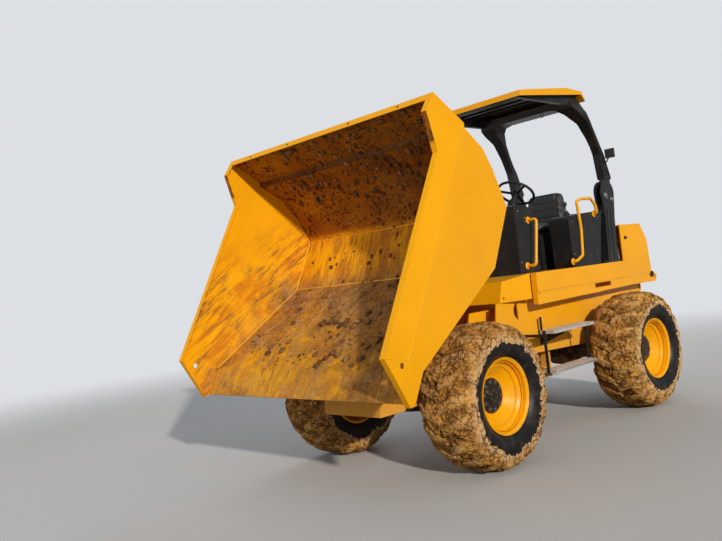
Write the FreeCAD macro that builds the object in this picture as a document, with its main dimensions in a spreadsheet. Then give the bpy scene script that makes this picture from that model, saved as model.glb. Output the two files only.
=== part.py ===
import FreeCAD
import Part
import Sketcher
import math
import os
import re

# A centre-articulated site dumper with its skip tipped. Millimetres.
# X points forward, Y to the left and Z up. Sizes are given from mid-wheelbase and the ground,
# and every sub-part is shifted back by origin_x, to the middle of the machine's length.

V = FreeCAD.Vector

# Driving dimensions: word, value, meaning.
SIZES = [
    ("origin_x", 142, "mid-wheelbase to the origin"),
    ("fit_gap", 0.3, "gap between seated pieces"),
    ("run_gap", 0.05, "radial clearance of a shaft in its bore"),
    # Wheels and axles
    ("axle_x", 1288, "half the wheelbase"),
    ("axle_z", 586, "axle height"),
    ("track_half", 845, "wheel centre from the middle"),
    ("tyre_rad", 586, "tyre radius over the lugs"),
    ("carcass_rad", 564.5, "tyre radius between the lugs"),
    ("lug_wide", 72, "width of a tread lug"),
    ("lug_sweep", 96, "slant of a lug from the middle to the shoulder"),
    ("tyre_half", 250, "half the tyre width"),
    ("bead_rad", 301, "inner edge of the sidewall"),
    ("bead_half", 196, "bead from the wheel centre"),
    ("rim_rad", 299, "rim flange radius"),
    ("rim_half", 207, "rim flange from the wheel centre"),
    ("rim_seat", 284, "bead seat radius"),
    ("rim_wall", 8, "rim thickness"),
    ("step_rad", 264, "step inside the rim"),
    ("step_out", 150, "step from the wheel centre"),
    ("disc_out", 62, "outer face of the wheel disc"),
    ("disc_rad", 150, "flat part of the wheel disc"),
    ("disc_wall", 14, "wheel disc thickness"),
    ("dish_out", 130, "foot of the conical dish"),
    ("dish_rad", 240, "foot of the conical dish"),
    ("hub_rad", 140, "hub radius"),
    ("hub_out", 74, "hub face from the wheel centre"),
    ("hub_in", -50, "hub back from the wheel centre"),
    ("spindle_rad", 55, "axle spindle"),
    ("spindle_deep", 60, "spindle inside the hub"),
    ("diff_rad", 165, "differential housing"),
    ("beam_rad", 80, "axle beam"),
    ("brake_rad", 125, "brake housing"),
    ("hub_gap", 6, "axle end to hub"),
    # Rear frame
    ("frame_half", 430, "outer face of the frame side plates"),
    ("frame_plate", 12, "frame plate"),
    ("frame_nose_x", 476, "front tip of the side plate"),
    ("frame_nose_top", 1250, "top of the front tip"),
    ("frame_nose_low", 1080, "bottom of the front tip"),
    ("throat_x", -18, "foot of the slanting front edge"),
    ("throat_z", 725, "foot of the slanting front edge"),
    ("toe_x", -120, "front cross plate"),
    ("frame_low", 410, "lowest edge of the keel"),
    ("heel_x", -330, "rear end of the keel's foot"),
    ("keel_half", 132, "outer face of the keel plates"),
    ("bed_x", -800, "bed under the gearbox"),
    ("moon_x", 98, "centre of the half-round window"),
    ("moon_z", 1153, "centre of the half-round window"),
    ("moon_rad", 90, "radius of the half-round window"),
    ("rail_x", -1070, "rear rail begins"),
    ("rail_z", 700, "underside of the rails over the axles"),
    ("frame_rear", -2345, "rear end of the frame"),
    ("frame_top", 1240, "frame top under the hood"),
    ("deck_z", 1480, "underside of the deck plates"),
    ("deck_plate", 10, "deck plate"),
    ("pivot_x", 250, "steering pivot"),
    ("pivot_low", 445, "top of the lower pivot plate"),
    ("pivot_high", 975, "underside of the upper pivot plate"),
    ("lug_plate", 25, "pivot plate"),
    ("lug_rad", 95, "rounded end of a pivot plate"),
    ("pin_rad", 35, "steering pivot pin"),
    ("pivot_clear", 5, "block to pivot plates"),
    ("sleeve_rad", 88, "pivot block"),
    ("trunnion_rad", 60, "lengthwise trunnion"),
    ("trunnion_z", 710, "trunnion height"),
    ("trunnion_end", 700, "front end of the trunnion"),
    # Decks
    ("deck_half", 610, "outer face of the decks"),
    ("deck_front", 20, "front end of the decks"),
    ("deck_rear", -1840, "rear end of the deck plate"),
    ("fold_z", 1310, "fold line of the skirt"),
    ("skirt_low", 1190, "skirt bottom at the front"),
    ("skirt_lift", 40, "rise of the skirt bottom to the rear"),
    ("skirt_rear", -2395, "centre of the rear lashing eye"),
    ("eye_height", 1264, "centre of the rear lashing eye"),
    ("tow_x", -2430, "tow pin bore"),
    ("tow_pin", 16, "tow pin bore radius"),
    ("eye_rad", 22, "rear lashing eye"),
    ("eye_boss", 44, "rounding about the lashing eye"),
    ("slot_front", -1043, "slot in the skirt's lower strip"),
    ("slot_rear", -1378, "slot in the skirt's lower strip"),
    ("slot_low", 1253, "slot in the skirt's lower strip"),
    ("slot_high", 1297, "slot in the skirt's lower strip"),
    ("platform_x", 400, "foot of the platform's front face"),
    ("platform_half", 450, "half width of the platform front"),
    ("platform_z", 1445, "top of the platform front"),
    # Console, seat and controls
    ("console_half", 465, "half width of the console"),
    ("console_foot", 49, "front foot of the console"),
    ("console_back", -292, "rear foot of the console"),
    ("console_top", 2149, "console top"),
    ("panel_wall", 12, "moulded panel"),
    ("wheel_x", -710, "steering wheel"),
    ("wheel_z", 2335, "steering wheel"),
    ("wheel_ring", 190, "steering wheel ring radius"),
    ("column_rake", 36, "lean of the steering column in degrees"),
    ("seat_x", -1000, "seat centre"),
    ("seat_half", 250, "half the seat width"),
    ("cushion_low", 1880, "cushion underside"),
    ("cushion_top", 1985, "cushion top"),
    ("back_top", 2335, "top of the seat back"),
    ("grab_rad", 15, "grab rail"),
    ("side_front", -682, "side console front"),
    ("side_rear", -1343, "side console rear"),
    ("side_in", 380, "side console inner face"),
    ("side_top", 2052, "side console top"),
    # Hood, engine and tanks
    ("hood_front", -1690, "hood front"),
    ("hood_top", 1885, "hood top"),
    ("hood_crest", -2155, "hood top ends"),
    ("hood_brow", -2285, "foot of the hood's chamfer"),
    ("hood_brow_z", 1704, "foot of the hood's chamfer"),
    ("hood_rear", -2322, "hood rear"),
    ("hood_wall", 10, "hood panel"),
    ("grille_half", 250, "outer end of the louvre slots"),
    ("louvre_open", 16, "height of a louvre slot"),
    ("hood_low", 1310.3, "hood bottom and its hinge axis"),
    ("hinge_y", 330, "hood hinges from the middle"),
    ("hinge_half", 22, "half the width of a hinge knuckle"),
    ("hinge_rad", 14, "hinge knuckle radius"),
    ("hinge_pin", 7, "hinge pin radius"),
    ("hinge_lug", 10, "hinge lug plate"),
    ("engine_front", -1560, "engine block"),
    ("engine_rear", -2180, "engine block"),
    ("engine_half", 300, "engine block"),
    ("engine_low", 860, "engine block"),
    ("engine_top", 1640, "engine block"),
    ("tank_front", 10, "tank front"),
    ("tank_rear", -560, "tank rear"),
    ("tank_out", 640, "tank outer face"),
    ("tank_low", 640, "tank underside"),
    ("tank_top", 1150, "tank top"),
    ("bay_front", -1298, "front of the moulded engine cover"),
    ("bay_top", 1800, "top of the moulded engine cover"),
    ("step_front", 110, "front end of the treads"),
    ("step_rear", -600, "rear end of the treads"),
    ("tread_in", 640, "inner edge of the upper tread"),
    ("tread_wide", 150, "width of a tread"),
    ("tread_thick", 30, "depth of a tread"),
    ("tread_high", 925, "underside of the upper tread"),
    ("tread_low", 565, "underside of the lower tread"),
    # Roll bar and roof
    ("post_x", -1475, "foot of the roll bar's posts"),
    ("post_deep", 190, "post along the machine"),
    ("post_inset", 4, "outer face of the posts inside the decks' edge"),
    ("post_wide", 90, "width of a post across the machine"),
    ("head_x", -1520, "middle of the fold plates"),
    ("head_z", 2235, "middle of the fold plates"),
    ("head_rad", 135, "rounding of the fold plates"),
    ("fold_pin_x", -1580, "roll bar fold pins"),
    ("fold_pin_z", 2170, "roll bar fold pins"),
    ("fold_pin_rad", 14, "roll bar fold pins"),
    ("lock_pin_x", -1460, "roll bar locking pins"),
    ("lock_pin_z", 2215, "roll bar locking pins"),
    ("arch_drop", 93, "roof top above the roll bar's top"),
    ("arch_x", -1110, "top of the roll bar"),
    ("roof_front", -50, "roof front edge"),
    ("roof_rear", -1265, "roof rear edge"),
    ("roof_z", 3315, "roof top"),
    ("roof_over", 10, "roof edge beyond the decks' edge"),
    ("mirror_x", -1500, "mirror"),
    ("mirror_z", 2645, "middle of the mirror"),
    ("roof_wall", 12, "roof skin"),
    # Front frame
    ("fork_half", 330, "outer face of the front side plates"),
    ("fork_plate", 16, "front side plate"),
    ("shoulder_half", 240, "outer face of the tall plates over the trunnion"),
    ("shoulder_x", 290, "rear tip of the tall plates"),
    ("shoulder_top", 1190, "top of the tall plates"),
    ("fork_rear", 750, "rear wall of the front frame"),
    ("fork_nose", 1960, "front end of the front frame"),
    ("tip_x", 1645, "skip pivot"),
    ("tip_z", 1270, "skip pivot"),
    ("tip_rad", 30, "skip pivot pin"),
    ("tip_boss", 85, "rounding about the skip pivot"),
    # Skip, in its own level frame from the rear end of its floor
    ("tip_angle", 62.4, "tipped angle in degrees"),
    ("skip_pivot_x", 895, "pivot from the floor's rear end"),
    ("skip_pivot_z", 50, "pivot above the floor"),
    ("skip_half", 1250, "half the skip width"),
    ("skip_wall", 10, "skip plate"),
    ("skip_slope", 0.0838, "inward slope of the lower side panels"),
    ("rim_fold", 48, "width of the folded rim"),
    ("floor_x", 520, "floor ends, chute begins"),
    ("chute_x", 1518, "chute ends"),
    ("chute_z", 577, "chute ends"),
    ("lip_x", 1744, "lip"),
    ("lip_z", 583, "lip"),
    ("ear_x", 1778, "side plate front corner"),
    ("ear_z", 632, "side plate front corner"),
    ("brow_x", 1560, "side plate upper front corner"),
    ("brow_z", 955, "side plate upper front corner"),
    ("notch_x", 35, "side plate top"),
    ("notch_z", 906, "side plate top"),
    ("crest_x", -183, "side plate crest"),
    ("crest_z", 1104, "side plate crest"),
    ("peak_x", -349, "spill guard top"),
    ("peak_z", 1079, "spill guard top"),
    ("guard_x", -315, "spill guard foot"),
    ("guard_z", 716, "spill guard foot"),
    ("back_x", -283, "rear wall top"),
    ("back_z", 700, "rear wall top"),
    ("mid_x", -262, "rear wall bend"),
    ("mid_z", 440, "rear wall bend"),
    ("low_x", -185, "rear wall lower bend"),
    ("low_z", 280, "rear wall lower bend"),
    ("fold_rear_z", 716, "side fold line at the rear"),
    ("fold_front_z", 752, "side fold line at the front"),
    ("eye_x", 1548, "lashing eye in the skip side"),
    ("eye_z", 791, "lashing eye in the skip side"),
    ("skip_eye", 20, "lashing eye radius"),
    ("rib_half", 362, "rib and pivot ear from the middle"),
    ("rib_plate", 20, "rib and pivot ear plate"),
    ("rib_deep", 70, "rib depth"),
    ("beam_half", 565, "half the length of the beams under the floor"),
    # Rams
    ("ram_half", 240, "tipping rams from the middle"),
    ("ram_base_x", 860, "tipping ram base pin"),
    ("ram_base_z", 500, "tipping ram base pin"),
    ("ram_eye_x", 560, "rod eye on the skip"),
    ("ram_eye_z", -100, "rod eye on the skip"),
    ("ram_rad", 45, "tipping ram barrel"),
    ("ram_rod", 25, "tipping ram rod"),
    ("ram_barrel", 600, "tipping ram barrel length"),
    ("ram_rod_long", 650, "tipping ram rod length"),
    ("ram_pin", 20, "ram pin"),
    ("lock_base_x", -350, "steering ram base pin"),
    ("lock_base_y", 320, "steering ram base pin"),
    ("lock_eye_x", 390, "steering ram eye"),
    ("lock_eye_y", 200, "steering ram eye"),
    ("lock_z", 500, "steering ram height"),
    ("lock_rad", 32, "steering ram barrel"),
    ("lock_rod", 16, "steering ram rod"),
    ("lock_barrel", 430, "steering ram barrel length"),
    ("lock_rod_long", 530, "steering ram rod length"),
]

doc = FreeCAD.newDocument("site_dumper")
sheet = doc.addObject("Spreadsheet::Sheet", "Sizes")
for row, (word, amount, meaning) in enumerate(SIZES, 1):
    sheet.set(f"A{row}", meaning)
    sheet.set(f"B{row}", str(amount))
    sheet.setAlias(f"B{row}", word)
doc.recompute()
WORDS = {word for word, amount, meaning in SIZES}
KEPT = []
SIDES = (("left", 1), ("right", -1))
LUG_COUNT = 20
LOUVRES = 8
# Places that several sub-parts share
BASE = "(deck_z + deck_plate + fit_gap)"
POST_OUT = "(deck_half - post_inset)"
POST_IN = "(deck_half - post_inset - post_wide)"
HOOD_HALF = "(deck_half - post_inset)"
ROOF_HALF = "(deck_half + roof_over)"
ARCH_Z = "(roof_z - arch_drop)"


def bound(text):
    """Point each size's word in an expression at its cell."""
    return re.sub(r"[a-z_]+", lambda hit: "Sizes." + hit.group(0) if hit.group(0) in WORDS else hit.group(0), text)


def value(text):
    return float(sheet.evalExpression(bound(text)))


def bind(piece, slot, text):
    piece.setExpression(slot, bound(text))


def sided(sign, low, high):
    """Two places across the machine, for the left or the right side."""
    return (low, high) if sign > 0 else (f"-({high})", f"-({low})")


def place(piece, x="0", y="0", z="0"):
    for axis, text in zip("xyz", (x, y, z)):
        bind(piece, f"Placement.Base.{axis}", text)
    return piece


def box(name, low, high):
    """A block between two corners."""
    piece = doc.addObject("Part::Box", name)
    for side, start, end in zip(("Length", "Width", "Height"), low, high):
        bind(piece, side, f"({end}) - ({start})")
    return place(piece, *low)


def rod(name, radius, start, end, axis):
    """A round bar along an axis between two places on it; start is a corner of three expressions."""
    piece = doc.addObject("Part::Cylinder", name)
    bind(piece, "Radius", radius)
    bind(piece, "Height", f"({end}) - ({start['xyz'.index(axis)]})")
    turns = {"x": (V(0, 1, 0), 90), "y": (V(1, 0, 0), -90), "z": (V(0, 0, 1), 0)}
    piece.Placement = FreeCAD.Placement(V(), FreeCAD.Rotation(*turns[axis]))
    return place(piece, *start)


def outline(body, name, points, plane):
    """A closed sketch whose corners are bound to the sizes."""
    sketch = body.newObject("Sketcher::SketchObject", name)
    origin = [f for f in body.Origin.OriginFeatures if f.Role == plane][0]
    sketch.AttachmentSupport = (origin, "")
    sketch.MapMode = "FlatFace"
    spots = [V(value(a), value(b), 0) for a, b in points]
    count = len(spots)
    sketch.addGeometry([Part.LineSegment(spots[i], spots[(i + 1) % count]) for i in range(count)], False)
    sketch.addConstraint([Sketcher.Constraint("Coincident", i, 2, (i + 1) % count, 1) for i in range(count)])
    for i, spot in enumerate(points):
        for kind, text in zip(("DistanceX", "DistanceY"), spot):
            number = sketch.addConstraint(Sketcher.Constraint(kind, -1, 1, i, 1, value(text)))
            bind(sketch, f"Constraints[{number}]", text)
    return sketch


def slab(name, points, low, high, plane="XZ_Plane"):
    """An outline padded between two places along the plane's normal."""
    body = doc.addObject("PartDesign::Body", name)
    sketch = outline(body, name + "_outline", points, plane)
    pad = body.newObject("PartDesign::Pad", name + "_pad")
    pad.Profile = sketch
    bind(pad, "Length", f"({high}) - ({low})")
    pad.Midplane = True
    axis = {"XZ_Plane": "y", "XY_Plane": "z", "YZ_Plane": "x"}[plane]
    bind(body, f"Placement.Base.{axis}", f"(({high}) + ({low})) / 2")
    sketch.Visibility = False
    return body


def turned(name, points):
    """A profile of (along Y, radius) corners turned about the Y axis."""
    body = doc.addObject("PartDesign::Body", name)
    sketch = outline(body, name + "_profile", points, "YZ_Plane")
    turn = body.newObject("PartDesign::Revolution", name + "_turn")
    turn.Profile = sketch
    turn.ReferenceAxis = (sketch, ["H_Axis"])
    turn.Angle = 360
    return body


def fuse(name, *pieces):
    joined = doc.addObject("Part::MultiFuse", name)
    joined.Shapes = list(pieces)
    joined.Refine = True
    return joined


def cut(name, base, *tools):
    piece = doc.addObject("Part::Cut", name)
    piece.Base = base
    piece.Tool = tools[0] if len(tools) == 1 else fuse(name + "_tools", *tools)
    return piece


def common(name, first, second):
    piece = doc.addObject("Part::Common", name)
    piece.Base = first
    piece.Tool = second
    return piece


def shaped(name, shape):
    """A piece whose form comes from the sizes in code."""
    piece = doc.addObject("Part::Feature", name)
    piece.Shape = shape
    return piece


def mirrored(name, piece):
    copy = doc.addObject("Part::Mirroring", name)
    copy.Source = piece
    copy.Normal = V(0, 1, 0)
    return copy


def keep(piece, label, x="0", y="0", z="0", turn=None):
    """Name a finished sub-part and set it in the machine's frame."""
    if turn:
        piece.Placement = FreeCAD.Placement(V(), turn)
    if piece.TypeId == "Part::Feature":
        piece.Placement = FreeCAD.Placement(V(value(f"({x}) - origin_x"), value(y), value(z)), piece.Placement.Rotation)
    else:
        place(piece, f"({x}) - origin_x", y, z)
    piece.Label = label
    KEPT.append(piece)
    return piece


# Wheels: tyre, rim and hub, turned about the axle and set at four corners.

def ring_solid(corners):
    """A solid of (along Y, radius) corners turned about the Y axis."""
    spots = [V(0, across, radius) for across, radius in corners]
    face = Part.Face(Part.makePolygon(spots + spots[:1]))
    return face.revolve(V(), V(0, 1, 0), 360)


def tyre_shape():
    """Carcass with slanting lugs on both halves of the tread, staggered by half a pitch."""
    carcass = ring_solid([(value(a), value(b)) for a, b in tyre_profile()])
    half, top = value("tyre_half"), value("tyre_rad")
    root = value("carcass_rad") - 60
    # The lugs' crown and rounded shoulder: across, radius
    crown = [(half - 190, top - 2), (half - 130, top - 11), (half - 80, top - 24), (half - 45, top - 46), (half - 36, root)]
    band = ring_solid([(-a, r) for a, r in reversed(crown)] + [(0, top)] + crown)
    wide, sweep = value("lug_wide"), value("lug_sweep")
    start, end = 4, half - 20
    foot = [V(-wide / 2, start, 0), V(wide / 2, start, 0), V(wide / 2 - sweep, end, 0), V(-wide / 2 - sweep, end, 0)]
    for spot in foot:
        spot.z = root - 4
    bar = Part.Face(Part.makePolygon(foot + foot[:1])).extrude(V(0, 0, top + 30 - root))
    left = bar.common(band)
    right = left.mirror(V(), V(0, 1, 0))
    right.rotate(V(), V(0, 1, 0), 180 / LUG_COUNT)
    lugs = []
    for i in range(LUG_COUNT):
        for lug in (left, right):
            copy = lug.copy()
            copy.rotate(V(), V(0, 1, 0), 360 * i / LUG_COUNT)
            lugs.append(copy)
    return carcass.fuse(lugs)


def tyre_profile():
    half = [
        ("bead_half", "bead_rad"), ("tyre_half - 7", "bead_rad + 64"), ("tyre_half", "bead_rad + 109"),
        ("tyre_half - 22", "carcass_rad - 74.5"), ("tyre_half - 47", "carcass_rad - 39.5"),
        ("tyre_half - 80", "carcass_rad - 16.5"), ("tyre_half - 130", "carcass_rad - 4.5"),
    ]
    inner = [("-bead_half", "rim_seat + fit_gap"), ("bead_half", "rim_seat + fit_gap")]
    return [(f"-({a})", b) for a, b in half] + [("0", "carcass_rad")] + list(reversed(half)) + list(reversed(inner))


def rim_profile():
    return [
        ("-rim_half", "rim_rad"), ("-rim_half", "rim_seat - rim_wall"), ("20", "rim_seat - rim_wall - 4"),
        ("step_out - 26", "rim_seat - rim_wall - 4"), ("dish_out - disc_wall", "dish_rad + 8"),
        ("disc_out - disc_wall", "disc_rad + 6"), ("disc_out - disc_wall", "hub_rad + fit_gap"),
        ("disc_out", "hub_rad + fit_gap"), ("disc_out", "disc_rad"), ("dish_out", "dish_rad"),
        ("step_out", "step_rad"), ("step_out + 6", "rim_seat - rim_wall - 4"), ("rim_half - 12", "rim_seat - rim_wall"),
        ("rim_half", "rim_rad - 6"), ("rim_half", "rim_rad"), ("rim_half - rim_wall", "rim_rad"),
        ("rim_half - rim_wall - 2", "rim_seat"), ("-rim_half + rim_wall + 2", "rim_seat"),
        ("-rim_half + rim_wall", "rim_rad"),
    ]


def hub_profile():
    return [
        ("hub_in", "spindle_rad + run_gap"), ("hub_in", "hub_rad - 20"), ("hub_in + 10", "hub_rad - 10"),
        ("disc_out - disc_wall - 20", "hub_rad - 10"), ("disc_out - disc_wall - 20", "hub_rad + 26"),
        ("disc_out - disc_wall", "hub_rad + 26"), ("disc_out - disc_wall", "hub_rad"),
        ("hub_out - 12", "hub_rad"), ("hub_out", "hub_rad - 14"), ("hub_out", "64"), ("hub_out + 14", "56"),
        ("hub_out + 14", "0"), ("hub_in + spindle_deep", "0"), ("hub_in + spindle_deep", "spindle_rad + run_gap"),
    ]


def wheel(end, forward, side, sign, tyre):
    corner = f"{end}_{side}"
    turn = FreeCAD.Rotation(V(0, 0, 1), 0 if sign > 0 else 180)
    spot = (f"{forward} * axle_x", f"{sign} * track_half", "axle_z")
    keep(shaped(f"tyre_{corner}_body", tyre), f"tyre_{corner}", *spot, turn)
    for kind, profile in (("rim", rim_profile()), ("hub", hub_profile())):
        keep(turned(f"{kind}_{corner}_body", profile), f"{kind}_{corner}", *spot, turn)


def axle(end, forward):
    """Beam with its differential bulge, brake housings, spindles and the pads that the frame sits on."""
    beam_end = "track_half + hub_in - hub_gap"
    spindle_end = "track_half + hub_in + spindle_deep - 2"
    half = [
        ("diff_rad - 35", "diff_rad - 10"), ("diff_rad + 10", "diff_rad - 70"), ("diff_rad + 60", "beam_rad + 6"),
        (f"{beam_end} - 250", "beam_rad"), (f"{beam_end} - 215", "brake_rad"), (f"{beam_end} - 90", "brake_rad"),
        (f"{beam_end} - 70", "brake_rad - 25"), (beam_end, "brake_rad - 25"), (beam_end, "spindle_rad"),
        (spindle_end, "spindle_rad"), (spindle_end, "0"),
    ]
    profile = [(f"-({a})", b) for a, b in reversed(half)] + [("0", "diff_rad")] + half
    pieces = [turned(f"{end}_axle_beam", profile)]
    # The input of the differential, towards the middle of the machine: name, radius, reach
    for name, radius, reach in (("nose", "diff_rad - 95", "(diff_rad + 95)"), ("yoke", "38", "(diff_rad + 125)")):
        low, high = (f"-{reach}", "0") if forward > 0 else ("0", reach)
        pieces.append(rod(f"{end}_axle_{name}", radius, (low, "0", "0"), high, "x"))
    inner, outer = ("fork_half - 60", "fork_half + 40") if forward > 0 else ("frame_half - 80", "frame_half + 30")
    for side, sign in SIDES:
        low, high = sided(sign, inner, outer)
        pieces.append(box(f"{end}_axle_pad_{side}", ("-90", low, "beam_rad - 30"), ("90", high, "rail_z - axle_z")))
    keep(fuse(f"{end}_axle_whole", *pieces), f"{end}_axle", f"{forward} * axle_x", "0", "axle_z")


# Rear frame and everything that it carries.

def frame_sides():
    """The two side plates, each with its axle seat and the half-round window behind its nose."""
    side_outline = [
        ("frame_nose_x - 32", "frame_nose_top"), ("frame_nose_x", "frame_nose_low"), ("throat_x", "throat_z"),
        ("rail_x + 30", "rail_z - 12"), ("rail_x", "rail_z"), ("frame_rear", "rail_z"), ("frame_rear", "frame_top"),
        ("hood_front - 20", "frame_top"), ("hood_front", "deck_z"), ("deck_front", "deck_z"),
        ("deck_front", "frame_nose_top"),
    ]
    plates = []
    for side, sign in SIDES:
        low, high = sided(sign, "frame_half - frame_plate", "frame_half")
        plate = slab(f"frame_side_{side}", side_outline, low, high)
        low, high = sided(sign, "frame_half - 60", "frame_half + 30")
        disc = rod(f"moon_disc_{side}", "moon_rad", ("moon_x", low, "moon_z"), high, "y")
        half = box(f"moon_half_{side}", ("moon_x + 22", low, "moon_z - 200"), ("moon_x + 200", high, "moon_z + 200"))
        plate = cut(f"frame_side_cut_{side}", plate, common(f"moon_{side}", disc, half))
        low, high = sided(sign, "frame_half - 90", "frame_half + 40")
        seat = box(f"axle_seat_{side}", ("-axle_x - 110", low, "rail_z"), ("-axle_x + 110", high, "rail_z + 20"))
        plates.append(fuse(f"frame_side_whole_{side}", plate, seat))
    keep(fuse("frame_sides_whole", *plates), "frame_sides")


def pivot_mount():
    """Front cross plate and keel with the two plates that hold the steering pin."""
    front, back = "toe_x + frame_plate - 2", "toe_x - 2"
    inside = "(frame_half - frame_plate - fit_gap)"
    belly = "(throat_z - 3)"
    pieces = [
        box("frame_front_upper", (back, f"-{inside}", belly), (front, inside, "deck_z - 10")),
        box("frame_front_lower", (back, "-keel_half", "frame_low"), (front, "keel_half", f"{belly} + 10")),
        box("frame_belly", ("heel_x - 200", f"-{inside}", belly), (front, inside, f"{belly} + frame_plate")),
    ]
    keel = [("toe_x", "frame_low"), ("heel_x", "frame_low"), ("heel_x - 160", f"{belly} + 2"), ("toe_x", f"{belly} + 2")]
    for side, sign in SIDES:
        low, high = sided(sign, "keel_half - frame_plate", "keel_half")
        pieces.append(slab(f"keel_{side}", keel, low, high))
    # Pivot plates: name, bottom, top
    for name, low, high in (
        ("low", "pivot_low - lug_plate", "pivot_low"),
        ("high", "pivot_high", "pivot_high + lug_plate"),
    ):
        pieces.append(box(f"pivot_plate_{name}", (back, "-lug_rad", low), ("pivot_x", "lug_rad", high)))
        pieces.append(rod(f"pivot_round_{name}", "lug_rad", ("pivot_x", "0", low), high, "z"))
    web = [
        ("toe_x", "pivot_high + lug_plate"), ("pivot_x - lug_rad", "pivot_high + lug_plate"),
        ("toe_x", "pivot_high + 225"),
    ]
    pieces.append(slab("pivot_web_high", web, "-8", "8"))
    bore = rod("pivot_bore", "pin_rad + run_gap", ("pivot_x", "0", "frame_low - 30"), "pivot_high + 60", "z")
    mount = cut("pivot_mount_cut", fuse("pivot_mount_whole", *pieces), bore)
    top = "pivot_high + lug_plate"
    head = rod("pivot_pin_head", "pin_rad + 18", ("pivot_x", "0", top), f"{top} + 16", "z")
    shank = rod("pivot_pin_shank", "pin_rad", ("pivot_x", "0", "pivot_low - lug_plate - 4"), top, "z")
    return [mount, head, shank]


def steering_ram_bracket():
    """Two ears and a hanger under the belly plate, with the steering ram's base pin."""
    ram_gap = "(lock_rad + 4)"
    back = "lock_base_x - 70"
    pieces = [box("lock_hanger", (back, "lock_base_y - 50", f"lock_z - {ram_gap} - 14"),
                  ("lock_base_x - 46", "lock_base_y + 50", "throat_z - 1"))]
    for name, low, high in (
        ("under", f"lock_z - {ram_gap} - 14", f"lock_z - {ram_gap}"),
        ("over", f"lock_z + {ram_gap}", f"lock_z + {ram_gap} + 14"),
    ):
        pieces.append(box(f"lock_ear_{name}", (back, "lock_base_y - 40", low), ("lock_base_x + 45", "lock_base_y + 40", high)))
    bore = rod("lock_base_bore", "ram_pin + run_gap", ("lock_base_x", "lock_base_y", "lock_z - 80"), "lock_z + 80", "z")
    pin = rod("lock_base_pin", "ram_pin", ("lock_base_x", "lock_base_y", "lock_z - lock_rad - 22"),
              "lock_z + lock_rad + 22", "z")
    return [cut("lock_bracket_cut", fuse("lock_bracket_whole", *pieces), bore), pin]


def tow_jaw():
    """Two plates behind the tail with the tow pin's bore through both."""
    pieces = [
        box("tow_low", ("tow_x - 40", "-80", "730"), ("frame_rear", "80", "750")),
        box("tow_high", ("tow_x - 40", "-80", "830"), ("frame_rear", "80", "850")),
        box("tow_back", ("frame_rear - 20", "-80", "740"), ("frame_rear", "80", "840")),
    ]
    bore = rod("tow_bore", "tow_pin", ("tow_x", "0", "700"), "900", "z")
    return cut("tow_jaw_cut", fuse("tow_jaw_whole", *pieces), bore)


def hood_hinges():
    """A pair of lugs and a pin for each hood knuckle."""
    pieces = []
    reach = "(hinge_half + 1 + hinge_lug)"
    for side, sign in SIDES:
        middle = f"{sign} * hinge_y"
        for name, low, high in (
            ("inner", f"{middle} - {reach}", f"{middle} - hinge_half - 1"),
            ("outer", f"{middle} + hinge_half + 1", f"{middle} + {reach}"),
        ):
            pieces.append(box(f"hood_lug_{name}_{side}", ("hood_rear - hinge_rad + 2", low, "frame_top - 60"),
                              ("hood_rear + hinge_rad - 2", high, "hood_low")))
            pieces.append(rod(f"hood_lug_round_{name}_{side}", "hinge_rad - 2", ("hood_rear", low, "hood_low"), high, "y"))
        pieces.append(rod(f"hood_pin_{side}", "hinge_pin", ("hood_rear", f"{middle} - {reach} - 3", "hood_low"),
                          f"{middle} + {reach} + 3", "y"))
    return pieces


def rear_frame():
    """Everything welded between the side plates."""
    inside = "(frame_half - frame_plate - fit_gap)"
    whole = pivot_mount() + steering_ram_bracket() + [tow_jaw()] + hood_hinges()
    # Cross members: name, rear face, front face, bottom, top
    for name, rear, front, low, high in (
        ("tail", "frame_rear", "frame_rear + 20", "rail_z", "frame_top"),
        ("bed_front", "bed_x - 40", "bed_x + 40", "rail_z", "rail_z + 70"),
        ("bed_rear", "-1900", "-1800", "rail_z", "engine_low - fit_gap"),
        ("bulkhead", "-1560", "-1550", "fold_z", "deck_z - 10"),
    ):
        whole.append(box(f"frame_{name}", (rear, f"-{inside}", low), (front, inside, high)))
    keep(fuse("rear_frame_pinned", *whole), "rear_frame")


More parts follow.
